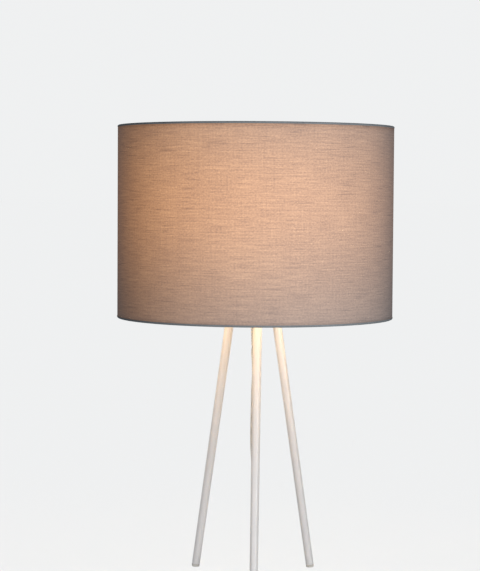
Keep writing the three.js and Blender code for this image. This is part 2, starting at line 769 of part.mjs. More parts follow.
function addSwitch() {
  const frame = new THREE.Group();
  frame.position.set(SWITCH.x, SWITCH.y, 0);
  lamp.add(frame);
  addPiece("switch_base", switchBase(), whitePlastic, frame);
  addPiece("switch_cover", switchCover(), whitePlastic, frame);
  addPiece("switch_rocker", switchRocker(), whitePlastic, frame);
  addPiece("switch_bridge", switchBridge(), brass, frame);
  addPiece("switch_screw_lamp_side", switchScrew(1), zinc, frame);
  addPiece("switch_screw_plug_side", switchScrew(-1), zinc, frame);
  addPiece("switch_terminal_lamp_side", switchTerminal(1), brass, frame);
  addPiece("switch_terminal_plug_side", switchTerminal(-1), brass, frame);
}

// ---------------------------------------------------------------- plug
const PLUG = { x: -88, y: -131.5, thickness: 13.7, width: 35.3, length: 42 };
// The pins: the sleeve covers the half nearer the plug, where the metal is thinner.
const PIN = { length: 19, radius: 2, spacing: 18.6, sleeve: 10, sleeveWall: 0.4, rooted: 6 };

// The flat two-pin plug lies on its side with its pins towards -X.
function plugBody() {
  const [half, end] = [PLUG.width / 2, PLUG.length];
  const shape = new THREE.Shape()
    .moveTo(0, -4)
    .lineTo(12, -5)
    .lineTo(24, -10)
    .lineTo(28, -half + 4)
    .lineTo(31, -half)
    .lineTo(end, -half)
    .lineTo(end, half)
    .lineTo(31, half)
    .lineTo(28, half - 4)
    .lineTo(24, 10)
    .lineTo(12, 5)
    .lineTo(0, 4);
  const outline = plate(shape, 0, PLUG.thickness);
  const side = new THREE.Shape()
    .moveTo(-1, 2.7)
    .lineTo(14, 1.6)
    .lineTo(26, 0)
    .lineTo(end + 1, 0)
    .lineTo(end + 1, PLUG.thickness)
    .lineTo(26, PLUG.thickness)
    .lineTo(14, PLUG.thickness - 1.6)
    .lineTo(-1, PLUG.thickness - 2.7);
  const slab = foldedStrip(side, 2 * PLUG.width);
  const bores = [-1, 1].map((pinSide) =>
    pinPiece(pinSide, PIN.radius + GAP, -PIN.rooted - 2 * GAP, PAST),
  );
  return cut(common(outline, slab), ...bores);
}

// A round piece about one pin's line, measured outwards from the plug's face.
function pinPiece(side, radius, from, to) {
  return disc(radius, PLUG.length + from, PLUG.length + to, SMALL_ROUND)
    .rotateY(Math.PI / 2)
    .translate(0, (side * PIN.spacing) / 2, PLUG.thickness / 2);
}

function addPlug() {
  const frame = new THREE.Group();
  frame.position.set(PLUG.x, PLUG.y, 0);
  frame.rotation.z = Math.PI;
  lamp.add(frame);
  addPiece("plug_body", plugBody(), whitePlastic, frame);
  const bore = PIN.radius - PIN.sleeveWall;
  for (const [name, side] of Object.entries({ live: 1, neutral: -1 })) {
    const sleeve = cut(
      pinPiece(side, PIN.radius, GAP, PIN.sleeve),
      pinPiece(side, bore, -PAST, PIN.sleeve + PAST),
    );
    const pin = joined(
      pinPiece(side, bore - GAP, -PIN.rooted, PIN.sleeve + 1),
      pinPiece(side, PIN.radius, PIN.sleeve + GAP, PIN.length),
    );
    addPiece(`plug_pin_${name}`, pin, nickel, frame);
    addPiece(`plug_pin_sleeve_${name}`, sleeve, whitePlastic, frame);
  }
}

// ---------------------------------------------------------------- cord
const LAID = CORD_DIAMETER / 2 + 0.2; // height of the cord's centre where it lies on the surface
const COIL = { x: -55, y: -95, middle: 31, turnsAcross: 3, turnsHigh: 2, lift: 0.9, corner: 1.6 };
const TIE = { width: 4, thick: 0.5 };

// From the sleeve straight down between the legs, round past the front foot, and into the switch.
const DROP_ROUTE = [
  [0, 0, SLEEVE_END - GAP],
  [-0.8, 0, 245],
  [-0.2, 0.3, 235],
  [0.2, 0.4, 220],
  [-0.6, 0.2, 204],
  [-0.9, 0, 188],
  [-1.2, -0.2, 170],
  [-1.4, -0.2, 155],
  [-1.1, 0, 140],
  [-0.2, 0.2, 124],
  [0.2, 0.2, 104],
  [0.3, 0, 80],
  [0.4, -0.2, 56],
  [0.5, -0.9, 38],
  [0.6, -4.2, 22],
  [0.8, -11.5, 10.6],
  [1.2, -21, 4.8],
  [2.2, -32, LAID],
  [5.8, -42.5, LAID],
  [13, -52, LAID],
  [24, -59.5, LAID],
  [39, -64.5, LAID],
  [57, -66.6, LAID],
  [76, -66.8, LAID],
  [94, -67.2, LAID],
  [107, -70.6, LAID],
  [116.4, -79.8, LAID],
  [119.8, -92.5, LAID],
  [116.4, -105.2, 3.8],
  [107, -114.4, 6],
  [95, -117.8, 8.2],
  [SWITCH.x + SWITCH.length / 2 + GAP, SWITCH.y, SWITCH_SPLIT],
];
// From the switch to the coil's outer turn.
const RUN_ROUTE = [
  [SWITCH.x - SWITCH.length / 2 - GAP, SWITCH.y, SWITCH_SPLIT],
  [11, -118.6, 7.2],
  [-2, -120.6, 4.6],
  [-16, -125.2, 3.7],
  [-31.2, -130.4, 3.65],
];
// From the coil's top layer to the plug.
const LEAD_ROUTE = [
  [-60, -137.1, 9],
  [-68, -136.2, 8.6],
  [-77, -133.3, 7.8],
  [PLUG.x + 3 * GAP, PLUG.y, PLUG.thickness / 2],
];

// The coil as one ring, and the strip that ties it.
function coilAndTie() {
  const half = (COIL.turnsAcross * CORD_DIAMETER) / 2;
  const coilTop = COIL.lift + COIL.turnsHigh * CORD_DIAMETER;
  const [inner, outer] = [COIL.middle - half, COIL.middle + half];
  const coil = turned(
    [
      [inner, COIL.lift + COIL.corner],
      [inner + COIL.corner, COIL.lift],
      [outer - COIL.corner, COIL.lift],
      [outer, COIL.lift + COIL.corner],
      [outer, coilTop - COIL.corner],
      [outer - COIL.corner, coilTop],
      [inner + COIL.corner, coilTop],
      [inner, coilTop - COIL.corner],
    ],
    MIDDLE_ROUND,
  ).translate(COIL.x, COIL.y, 0);
  const clear = TIE.thick + GAP;
  const band = block(
    [inner - clear, -TIE.width / 2, COIL.lift - clear],
    [outer + clear, TIE.width / 2, coilTop + clear],
  );
  const hole = block(
    [inner - GAP, -TIE.width, COIL.lift - GAP],
    [outer + GAP, TIE.width, coilTop + GAP],
  );
  const tie = cut(band, hole).rotateZ(Math.PI / 4).translate(COIL.x, COIL.y, 0);
  return { coil, tie };
}

function addCord() {
  const { coil, tie } = coilAndTie();
  addPiece("cord_drop", tubeAlong(DROP_ROUTE, CORD_DIAMETER, 44), clearCord);
  addPiece("cord_run", tubeAlong(RUN_ROUTE, CORD_DIAMETER, 8), clearCord);
  addPiece("cord_coil", coil, clearCord);
  addPiece("cord_lead", tubeAlong(LEAD_ROUTE, CORD_DIAMETER, 5), clearCord);
  addPiece("cord_tie", tie, tieStrip);
}

addLegs();
addHolder();
addShade();
addBulb();
addCord();
addSwitch();
addPlug();

export default lamp;
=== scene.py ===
# The looks of a tripod table lamp with a fabric drum shade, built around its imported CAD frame.
# +Z is up; the lamp stands on z = 0 about the vertical axis, and its front leg's foot is towards -Y.
# Shapes are worked out in millimetres, and add_mesh makes metres of them. Shaders, lights and the
# camera are in metres.
import math

import bmesh
import bpy
from mathutils import Matrix, Vector


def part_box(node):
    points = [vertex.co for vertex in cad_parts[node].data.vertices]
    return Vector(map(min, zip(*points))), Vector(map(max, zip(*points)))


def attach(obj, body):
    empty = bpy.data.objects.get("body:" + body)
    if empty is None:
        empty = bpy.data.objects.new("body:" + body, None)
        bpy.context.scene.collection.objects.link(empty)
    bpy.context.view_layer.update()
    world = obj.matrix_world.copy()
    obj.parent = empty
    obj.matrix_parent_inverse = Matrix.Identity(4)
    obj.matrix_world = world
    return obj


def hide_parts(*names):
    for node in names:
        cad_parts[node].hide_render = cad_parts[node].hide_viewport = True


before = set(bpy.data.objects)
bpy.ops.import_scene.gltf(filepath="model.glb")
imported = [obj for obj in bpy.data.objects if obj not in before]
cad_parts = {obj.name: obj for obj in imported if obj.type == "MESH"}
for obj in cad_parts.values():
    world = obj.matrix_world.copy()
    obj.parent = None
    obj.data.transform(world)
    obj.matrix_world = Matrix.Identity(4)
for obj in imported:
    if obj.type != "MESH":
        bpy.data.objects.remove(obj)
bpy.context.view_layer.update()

MM = 0.001
FULL = 2 * math.pi
SIDES = ("front", "right", "left")  # the legs
SWITCH_ENDS = ("lamp_side", "plug_side")
WIRES = ("live", "neutral")


# ---- what the frame says, in millimetres
def heights(node):
    low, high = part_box(node)
    return low.z / MM, high.z / MM


def lowest(node):
    return heights(node)[0]


def highest(node):
    return heights(node)[1]


def outer_radius(node):
    """The radius of a node that is round about the lamp's axis."""
    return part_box(node)[1].x / MM


def box(node):
    """A node's lowest and highest corners."""
    return [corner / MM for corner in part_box(node)]


def centre(node):
    low, high = box(node)
    return (low + high) / 2


def half_size(node):
    low, high = box(node)
    return (high - low) / 2


SHADE_RADIUS = outer_radius("shade_fabric")
SHADE_LOW = lowest("shade_bottom_hem")
SHADE_HIGH = highest("shade_top_hem")
GLOBE_CENTRE = highest("bulb_globe") - outer_radius("bulb_globe")


# ---- camera
def new_object(name, data):
    made = bpy.data.objects.new(name, data)
    bpy.context.collection.objects.link(made)
    return made


def make_camera():
    """Stands level with the shade, two metres in front, with a long lens."""
    data = bpy.data.cameras.new("camera")
    data.lens = 115.75
    camera = new_object("camera", data)
    camera.location = (-0.0163, -2.0024, 0.4223)
    tilt = Matrix.Rotation(math.radians(87.0), 3, "X")
    roll = Matrix.Rotation(math.radians(0.358), 3, "Z")
    camera.rotation_euler = (tilt @ roll).to_euler()
    bpy.context.scene.camera = camera


# ---- nodes and materials
def add_node(tree, kind, inputs=None, output=0, **settings):
    """Makes a node, sets or links its inputs, and gives one of its outputs."""
    made = tree.nodes.new(kind)
    for key, value in settings.items():
        setattr(made, key, value)
    for key, value in (inputs or {}).items():
        if isinstance(value, bpy.types.NodeSocket):
            tree.links.new(value, made.inputs[key])
        else:
            made.inputs[key].default_value = value
    return made.outputs[output]


def calculate(tree, operation, *values):
    return add_node(tree, "ShaderNodeMath", dict(enumerate(values)), operation=operation)


def noise(tree, vector, scale, detail=2.0, rough=0.5):
    """Soft noise from 0 to 1, with its own number of grains a metre along each axis."""
    place = add_node(tree, "ShaderNodeVectorMath", {0: vector, 1: scale}, operation="MULTIPLY")
    inputs = {"Vector": place, "Scale": 1.0, "Detail": detail, "Roughness": rough}
    return add_node(tree, "ShaderNodeTexNoise", inputs)


def ramp(tree, value, low, high, to_low=0.0, to_high=1.0):
    inputs = {"Value": value, "From Min": low, "From Max": high, "To Min": to_low, "To Max": to_high}
    return add_node(tree, "ShaderNodeMapRange", inputs)


def mix_colours(tree, share, a, b):
    return add_node(tree, "ShaderNodeMix", {0: share, 6: a, 7: b}, 2, data_type="RGBA")


def bump(tree, height, distance, strength=1.0):
    """A relief as deep as the distance, in millimetres."""
    inputs = {"Height": height, "Distance": distance * MM, "Strength": strength}
    return add_node(tree, "ShaderNodeBump", inputs)


def object_place(tree):
    return add_node(tree, "ShaderNodeTexCoord", output="Object")


def separated(tree, vector):
    """The three numbers of a vector."""
    parts = tree.nodes.new("ShaderNodeSeparateXYZ")
    tree.links.new(vector, parts.inputs[0])
    return parts.outputs


def rgb(red, green, blue, share=1.0):
    """A colour for a socket, each part of it multiplied by the share."""
    return (red * share, green * share, blue * share, 1.0)


def new_material(name):
    material = bpy.data.materials.new(name)
    material.use_nodes = True
    material.node_tree.nodes.clear()
    return material, material.node_tree


def principled(tree, **inputs):
    """A Principled shader; words in the input names are joined by underscores."""
    named = {key.replace("_", " "): value for key, value in inputs.items()}
    return add_node(tree, "ShaderNodeBsdfPrincipled", named)


def ended(material, shader):
    """The material, with the shader joined to its output."""
    tree = material.node_tree
    end = tree.nodes.new("ShaderNodeOutputMaterial")
    tree.links.new(shader, end.inputs["Surface"])
    return material


def plain_finish(name, base, rough, spread=0.06, grain=300, relief=0, **more):
    """A moulded, painted or metal finish: its colour and gloss vary a little, over a fine relief."""
    material, tree = new_material(name)
    place = object_place(tree)
    cloud = noise(tree, place, (35,) * 3, 3)
    fine = noise(tree, place, (grain,) * 3, 2)
    colour = mix_colours(tree, ramp(tree, cloud, 0.35, 0.65), rgb(*base, 1 - spread), rgb(*base))
    gloss = ramp(tree, fine, 0.3, 0.7, rough * 0.85, min(1, rough * 1.15))
    inputs = {"Base_Color": colour, "Roughness": gloss} | more
    if relief:
        inputs["Normal"] = bump(tree, fine, relief, 0.6)
    return ended(material, principled(tree, **inputs))


SEAM_LAP = 12  # how far the cloth's ends overlap at the back
CLOTH_THICK = 0.5
EXPOSURE = 1.0  # stops by which the picture is brightened
DIM = 2.0**-EXPOSURE  # every light is that much dimmer
BULB_LIGHT = 30.0 * DIM

# The cloth's own grey by daylight, and the painted glow, emission that stands for the lamp's light
# coming through it, at its brightest.
CLOTH_GREY = (0.29, 0.32, 0.35)
PAINTED_CLOTH_GLOW = (0.56, 0.225, 0.048)
YARN_TINT = (0.39, 0.365, 0.34)  # how much of the glow the yarns let by, straight through
PAINTED_GLOW_HEIGHT = GLOBE_CENTRE + 14  # where the glow is brightest


def cloth_place(tree):
    """(arc length round the shade from its front, height, 0), and the two as numbers."""
    x, y, z = separated(tree, object_place(tree))
    turn = calculate(tree, "ARCTAN2", x, calculate(tree, "MULTIPLY", y, -1.0))
    arc = calculate(tree, "MULTIPLY", turn, SHADE_RADIUS * MM)
    return add_node(tree, "ShaderNodeCombineXYZ", {0: arc, 1: z}), arc, z


def weave(tree, place):
    """How thick the cloth is, about 0 on average: slubbed weft threads, a finer warp and a mottle."""
    parts = [
        (noise(tree, place, (36, 1000, 1), 1, 0.6), 1.3),
        (noise(tree, place, (16, 380, 1), 1), 0.4),
        (noise(tree, place, (560, 12, 1), 1), 0.35),
        (noise(tree, place, (480, 600, 1), 1, 0.7), 1.45),
        (noise(tree, place, (12, 16, 1), 2), 0.35),
    ]
    total = None
    for value, share in parts:
        part = calculate(tree, "MULTIPLY_ADD", value, 2 * share, -share)
        total = part if total is None else calculate(tree, "ADD", total, part)
    slubs = noise(tree, place, (34, 640, 1), 1)
    thick = ramp(tree, slubs, 0.62, 0.76, 0, 1)
    thin = ramp(tree, slubs, 0.36, 0.24, 0, 0.6)
    return calculate(tree, "SUBTRACT", calculate(tree, "ADD", total, thick), thin)


def yarn_surface(tree, thick, share):
    """The yarn by reflected light: its grey, times a share, and the relief of its threads."""
    light, dark = rgb(*CLOTH_GREY, 1.16 * share), rgb(*CLOTH_GREY, 0.84 * share)
    grey = mix_colours(tree, ramp(tree, thick, -1.2, 1.2), light, dark)
    inputs = {"Base_Color": grey, "Roughness": 0.9, "Specular_IOR_Level": 0.1}
    return principled(tree, **inputs, Normal=bump(tree, thick, 0.12, 0.7))


def painted_glow_cloth():
    """Grey yarn by reflected light, and a painted glow: emission that stands for the bulb's light
    coming through between the threads.

    The painted glow is strongest a little above the bulb's middle and fades with height from there. It
    is weaker where the yarn is thick and where the cloth laps double, and the tinted coat takes more of
    it aslant, as yarns do. Each of the two shaders counts for half, so each is doubled."""
    material, tree = new_material("shade_cloth")
    place, arc, height = cloth_place(tree)
    thick = weave(tree, place)
    lapped = (SEAM_LAP - math.pi * SHADE_RADIUS) * MM  # the cloth is double as far as this
    # painted shade: the painted glow is dimmed where the cloth laps double
    lap = ramp(tree, arc, lapped, lapped + 0.4 * MM, 0.62, 1)
    # painted glow: it falls off with height from a little above the bulb's middle, as the bulb's light
    # would
    above = calculate(tree, "SUBTRACT", height, PAINTED_GLOW_HEIGHT * MM)
    aside = calculate(tree, "DIVIDE", above, SHADE_RADIUS * MM)
    spread = calculate(tree, "MULTIPLY_ADD", aside, aside, 1.0)
    strength = calculate(tree, "POWER", spread, -1.5)
    # the painted glow is weaker where the yarn is thick
    for factor in (ramp(tree, thick, -1.3, 1.3, 1.4, 0.6), lap, 2 * DIM):
        strength = calculate(tree, "MULTIPLY", strength, factor)
    red, green, blue = (glow / tint for glow, tint in zip(PAINTED_CLOTH_GLOW, YARN_TINT))
    pale, deep = rgb(red, green * 1.1, blue * 1.3), rgb(red, green * 0.9, blue * 0.7)
    colour = mix_colours(tree, ramp(tree, thick, -1.2, 1.2), pale, deep)
    inputs = {"Emission_Color": colour, "Emission_Strength": strength}
    inputs |= {"Base_Color": rgb(0, 0, 0), "Roughness": 1, "Specular_IOR_Level": 0}
    coat = {"Coat_Weight": 1, "Coat_Roughness": 1, "Coat_IOR": 1.07, "Coat_Tint": rgb(*YARN_TINT)}
    glow = principled(tree, **inputs, **coat)
    shaders = {0: 0.5, 1: glow, 2: yarn_surface(tree, thick, 2.0)}
    return ended(material, add_node(tree, "ShaderNodeMixShader", shaders))


def hem_cloth():
    """The same cloth where it is folded over the rings, too thick to let the light by."""
    material, tree = new_material("hem_cloth")
    place, _, _ = cloth_place(tree)
    return ended(material, yarn_surface(tree, weave(tree, place), 0.95))


def liner_film():
    """White film behind the cloth, with a faint print of the threads laminated to it."""
    material, tree = new_material("liner_film")
    place, _, _ = cloth_place(tree)
    threads = noise(tree, place, (40, 900, 1), 2)
    cloud = noise(tree, place, (10, 14, 1), 3)
    share = ramp(tree, calculate(tree, "MULTIPLY", threads, cloud), 0.1, 0.45)
    colour = mix_colours(tree, share, rgb(0.8, 0.77, 0.71), rgb(0.88, 0.86, 0.82))
    relief = bump(tree, threads, 0.05, 0.5)
    return ended(material, principled(tree, Base_Color=colour, Roughness=0.5, Normal=relief))


def opal_globe():
    """The lit bulb: brightest round its crown, and warmer down at its neck."""
    material, tree = new_material("opal_globe")
    height = separated(tree, object_place(tree))[2]
    low = lowest("bulb_globe")
    up = ramp(tree, height, low * MM, (low + 20) * MM)
    inputs = {"Base_Color": rgb(0.9, 0.87, 0.8), "Roughness": 0.35}
    inputs["Emission_Color"] = mix_colours(tree, up, rgb(1, 0.62, 0.28), rgb(1, 0.72, 0.42))
    inputs["Emission_Strength"] = ramp(tree, up, 0, 1, BULB_LIGHT * 0.6, BULB_LIGHT)
    return ended(material, principled(tree, **inputs))


def clear_plastic(name, tint, clear, rough=0.12):
    """A thin clear plastic skin: what is behind it shows through, with a glossy surface."""
    material, tree = new_material(name)
    grain = noise(tree, object_place(tree), (260,) * 3, 2)
    colour = mix_colours(tree, grain, rgb(*tint, 0.85), rgb(*tint))
    relief = bump(tree, grain, 0.04, 0.4)
    body = principled(tree, Base_Color=colour, Roughness=rough, IOR=1.5, Normal=relief)
    through = add_node(tree, "ShaderNodeBsdfTransparent", {"Color": rgb(*tint)})
    return ended(material, add_node(tree, "ShaderNodeMixShader", {0: clear, 1: body, 2: through}))


def stranded_wire():
    """Fine tinned strands laid along a core."""
    material, tree = new_material("tinned_strands")
    grain = noise(tree, object_place(tree), (900, 900, 500), 2, 0.6)
    share = ramp(tree, grain, 0.35, 0.65)
    colour = mix_colours(tree, share, rgb(0.26, 0.2, 0.15), rgb(0.56, 0.5, 0.44))
    relief = bump(tree, grain, 0.15, 0.8)
    inputs = {"Base_Color": colour, "Metallic": 0.5, "Roughness": 0.4, "Normal": relief}
    return ended(material, principled(tree, **inputs))


PAINT = plain_finish("white_paint", (0.87, 0.855, 0.855), 0.3, 0.03, 700, 0.03, Specular_IOR_Level=0.3)
PLASTIC = plain_finish("white_plastic", (0.83, 0.82, 0.8), 0.35, 0.04, 900, 0.02)
DARKER_PLASTIC = plain_finish("rocker_plastic", (0.74, 0.74, 0.73), 0.3, 0.04, 900, 0.02)
ZINC = plain_finish("zinc", (0.62, 0.63, 0.65), 0.32, 0.2, 500, 0.02, Metallic=1)
BRASS = plain_finish("brass", (0.72, 0.52, 0.24), 0.3, 0.2, 500, 0.02, Metallic=1)
NICKEL = plain_finish("nickel", (0.68, 0.66, 0.62), 0.2, 0.1, 500, 0.01, Metallic=1)
CERAMIC = plain_finish("ceramic", (0.76, 0.73, 0.67), 0.5, 0.08, 400, 0.03)
BLACK_GLASS = plain_finish("black_insulator", (0.02, 0.02, 0.022), 0.2, 0.2, 300)
PAPER = plain_finish("tie_paper", (0.82, 0.82, 0.8), 0.7, 0.08, 600, 0.05)
CLOTH = painted_glow_cloth()
HEM = hem_cloth()
FILM = liner_film()
OPAL = opal_globe()
JACKET = clear_plastic("clear_jacket", (0.9, 0.86, 0.8), 0.62)
SOFT_CLEAR = clear_plastic("clear_sleeve", (0.88, 0.86, 0.82), 0.45, 0.3)
STRANDS = stranded_wire()


# ---- meshes
def add_mesh(name, verts, faces, material, sharp=35):
    """A mesh object, smooth but for its edges sharper than so many degrees."""
    mesh = bpy.data.meshes.new(name)
    mesh.from_pydata([tuple(v * MM) for v in verts], [], faces)
    work = bmesh.new()
    work.from_mesh(mesh)
    bmesh.ops.remove_doubles(work, verts=work.verts, dist=1e-6)
    bmesh.ops.recalc_face_normals(work, faces=work.faces)
    work.to_mesh(mesh)
    work.free()
    mesh.materials.append(material)
    mesh.shade_smooth()
    mesh.set_sharp_from_angle(angle=math.radians(sharp))
    return new_object(name, mesh)


def skin(rings, wrap=False, capped=False):
    """Faces between rings of as many points each; wrap joins the last ring to the first."""
    verts = [point for ring in rings for point in ring]
    count = len(rings[0])
    faces = []
    pairs = len(rings) if wrap else len(rings) - 1
    for i in range(pairs):
        a, b = i * count, ((i + 1) % len(rings)) * count
        for j in range(count):
            k = (j + 1) % count
            faces.append((a + j, a + k, b + k, b + j))
    if capped:
        faces.append(tuple(range(count))[::-1])
        faces.append(tuple(range(len(verts) - count, len(verts))))
    return verts, faces


def lofted(name, rings, material, sharp=35, matrix=None, **joins):
    """A mesh skinned over rings, which the matrix moves."""
    if matrix:
        rings = [[matrix @ point for point in ring] for ring in rings]
    return add_mesh(name, *skin(rings, **joins), material, sharp)


def polar(radius, turn, height=0.0):
    """A point by its distance from the vertical axis, its turn about it and its height."""
    return Vector((radius * math.cos(turn), radius * math.sin(turn), height))


def level_ring(radius, height, sides, shape=None):
    """A ring about the vertical axis; shape gives what to add to its radius at each turn."""
    turns = (FULL * j / sides for j in range(sides))
    return [polar(radius + (shape(turn) if shape else 0), turn, height) for turn in turns]


def eased(outline, steps=4):
    """A closed outline of (radius, height, easing) points, with its corners rounded by the easing."""
    points = []
    for i, (r, z, ease) in enumerate(outline):
        corner = Vector((r, z))
        if not ease:
            points.append(corner)
            continue
        before = Vector(outline[i - 1][:2])
        after = Vector(outline[(i + 1) % len(outline)][:2])
        start = corner + (before - corner).normalized() * ease
        end = corner + (after - corner).normalized() * ease
        for k in range(steps + 1):
            t = k / steps
            points.append(start * (1 - t) ** 2 + corner * 2 * t * (1 - t) + end * t * t)
    return points


def turned(name, outline, material, sides=64, matrix=None):
    """A solid turned about the vertical axis from a closed outline, then moved by the matrix."""
    rings = [level_ring(max(r, 1e-4), z, sides) for r, z in eased(outline)]
    return lofted(name, rings, material, matrix=matrix, wrap=True)


def band(bore, outer, low, high, inner_ease=0.0, outer_ease=0.0):
    """The outline of a washer, a ring or a sleeve."""
    inner = [(bore, z, inner_ease) for z in (low, high)]
    return [inner[0], (outer, low, outer_ease), (outer, high, outer_ease), inner[1]]


def put(piece, slot, *nodes, body="lamp"):
    """The piece rides on the body and stands for the nodes, which are hidden. The slot is not used."""
    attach(piece, body)
    if nodes:
        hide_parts(*nodes)
    return piece


def path_length(path):
    return sum((b - a).length for a, b in zip(path, path[1:]))


def even_path(curve, step):
    """Points at even steps along a line of points, from its start to its end."""
    count = max(2, round(path_length(curve) / step))
    gap = path_length(curve) / count
    path = [curve[0]]
    along = 0.0
    for a, b in zip(curve, curve[1:]):
        span = (b - a).length
        while span and along + span >= gap * len(path) - 1e-6 and len(path) < count:
            path.append(a.lerp(b, (gap * len(path) - along) / span))
        along += span
    path.append(curve[-1])
    return path


def smooth_path(points, step):
    """Evenly spaced points on a smooth curve through the given ones (centripetal Catmull-Rom)."""
    points = [Vector(p) for p in points]
    held = [2 * points[0] - points[1], *points, 2 * points[-1] - points[-2]]
    curve = []
    for p0, p1, p2, p3 in zip(held, held[1:], held[2:], held[3:]):
        t1 = math.sqrt((p1 - p0).length)
        t2 = t1 + math.sqrt((p2 - p1).length)
        t3 = t2 + math.sqrt((p3 - p2).length)
        for k in range(16):
            t = t1 + (t2 - t1) * k / 16
            a1 = p0.lerp(p1, t / t1)
            a2 = p1.lerp(p2, (t - t1) / (t2 - t1))
            a3 = p2.lerp(p3, (t - t2) / (t3 - t2))
            b1 = a1.lerp(a2, t / t2)
            b2 = a2.lerp(a3, (t - t1) / (t3 - t1))
            curve.append(b1.lerp(b2, (t - t1) / (t2 - t1)))
    curve.append(points[-1])
    return even_path(curve, step)


def carried_frames(path):
    """A pair of cross directions at each point of a path, turning as little as they can."""
    frames = []
    side = None
    for i in range(len(path)):
        along = (path[min(i + 1, len(path) - 1)] - path[max(i - 1, 0)]).normalized()
        if side is None:
            side = along.orthogonal()
        side = (side - along * side.dot(along)).normalized()
        frames.append((side, along.cross(side)))
    return frames


def round_section(radius, sides):
    steps = (FULL * j / sides for j in range(sides))
    return [(radius * math.cos(a), radius * math.sin(a)) for a in steps]


def swept(path, section, turns=0):
    """Rings of a section carried along a path, and turned so many times on the way."""
    rings = []
    for i, (point, (side, up)) in enumerate(zip(path, carried_frames(path))):
        turn = FULL * turns * i / (len(path) - 1)
        a = side * math.cos(turn) + up * math.sin(turn)
        b = up * math.cos(turn) - side * math.sin(turn)
        rings.append([point + a * x + b * y for x, y in section])
    return rings


def tube(name, path, radius, material, sides):
    return lofted(name, swept(path, round_section(radius, sides)), material, 60, capped=True)


def rounded_ring(half_x, half_y, corner, height, per_corner=8):
    """A level rectangle with round corners, as a ring of points."""
    corner = min(corner, half_x, half_y)
    ring = []
    for i, (sx, sy) in enumerate(((1, 1), (-1, 1), (-1, -1), (1, -1))):
        middle = Vector((sx * (half_x - corner), sy * (half_y - corner), 0))
        for k in range(per_corner + 1):
            ring.append(middle + polar(corner, math.pi / 2 * (i + k / per_corner), height))
    return ring


# ---- the cord
CORD = 5.5  # outside diameter
CORE = 2.1  # diameter of each of the two cores
TWIST = 30  # along the cord for one turn of the cores

# From the sleeve straight down between the legs, round past the front foot, and into the switch.
DROP_ROUTE = [
    (0, 0, 251.7), (-0.8, 0, 245), (-0.2, 0.3, 235), (0.2, 0.4, 220), (-0.6, 0.2, 204),
    (-0.9, 0, 188), (-1.2, -0.2, 170), (-1.4, -0.2, 155), (-1.1, 0, 140), (-0.2, 0.2, 124),
    (0.2, 0.2, 104), (0.3, 0, 80), (0.4, -0.2, 56), (0.5, -0.9, 38), (0.6, -4.2, 22),
    (0.8, -11.5, 10.6), (1.2, -21, 4.8), (2.2, -32, 2.95), (5.8, -42.5, 2.95), (13, -52, 2.95),
    (24, -59.5, 2.95), (39, -64.5, 2.95), (57, -66.6, 2.95), (76, -66.8, 2.95),
    (94, -67.2, 2.95), (107, -70.6, 2.95), (116.4, -79.8, 2.95), (119.8, -92.5, 2.95),
    (116.4, -105.2, 3.8), (107, -114.4, 6), (95, -117.8, 8.2), (82.3, -118, 8.5),
]
# From the switch to the coil's outer turn, and from its top layer to the plug.
RUN_ROUTE = [
    (21.7, -118, 8.5), (11, -118.6, 7.2), (-2, -120.6, 4.6), (-16, -125.2, 3.7),
    (-31.2, -130.4, 3.65),
]
LEAD_ROUTE = [(-60, -137.1, 9), (-68, -136.2, 8.6), (-77, -133.3, 7.8), (-87.7, -131.5, 6.85)]
CORD_STEP = 2.5  # between the points of a cord's path
COIL_MIDDLE = 31  # radius of the middle of the coil's turns
COIL_STEPS = 36  # points in a turn
COIL_LAYER = 3  # turns side by side in a layer
CROSSING = 0.54  # where in a turn the cord starts to cross to the next one


def coil_path():
    """Three turns on the surface, inwards, then three on top of them, outwards."""
    hub = centre("cord_coil")
    hub.z = 0
    low = lowest("cord_coil") + CORD / 2
    inwards = [COIL_MIDDLE + (1 - i) * CORD for i in range(COIL_LAYER)]
    radii = inwards + inwards[::-1] + [inwards[0] + CORD]
    levels = [low] * COIL_LAYER + [low + CORD] * (COIL_LAYER + 1)
    path = []
    for k in range(2 * COIL_LAYER * COIL_STEPS + 1):
        turn, part = divmod(k / COIL_STEPS, 1.0)
        i = int(turn)
        u = max(0.0, (part - CROSSING) / (1 - CROSSING))
        ease = u * u * (3 - 2 * u)
        after = min(i + 1, len(radii) - 1)
        radius = radii[i] + (radii[after] - radii[i]) * ease
        height = levels[i] + (levels[after] - levels[i]) * ease
        hump = math.sin(math.pi * u) ** 2
        radius -= 3.0 * hump * (i == COIL_LAYER - 1)  # keeps off the turn that comes in below
        height += 1.3 * hump * (i == COIL_LAYER)  # and over the one that comes up
        path.append(hub + polar(radius, -math.pi / 2 - FULL * part, height))
    return path


def cores_along(name, path):
    """The two stranded cores, twisted about the cord's middle."""
    along = 0.0
    middles = ([], [])
    for i, (point, (side, up)) in enumerate(zip(path, carried_frames(path))):
        along += (point - path[i - 1]).length if i else 0.0
        turn = FULL * along / TWIST
        out = side * math.cos(turn) + up * math.sin(turn)
        for middle, sign in zip(middles, (1, -1)):
            middle.append(point + out * sign * CORE / 2)
    verts, faces = [], []
    for middle in middles:
        more, quads = skin(swept(middle, round_section(CORE / 2, 8)), capped=True)
        faces += [tuple(v + len(verts) for v in quad) for quad in quads]
        verts += more
    return add_mesh(name, verts, faces, STRANDS, 60)


def add_cord(name, route, *nodes):
    """The cord's skin and its cores, and its path in metres."""
    path = smooth_path(route, CORD_STEP)
    jacket = put(tube(name, path, CORD / 2, JACKET, 20), "clear_cord", *nodes)
    cores = put(cores_along(f"{name}_cores", path), "clear_cord")
    return jacket, cores, [point * MM for point in path]


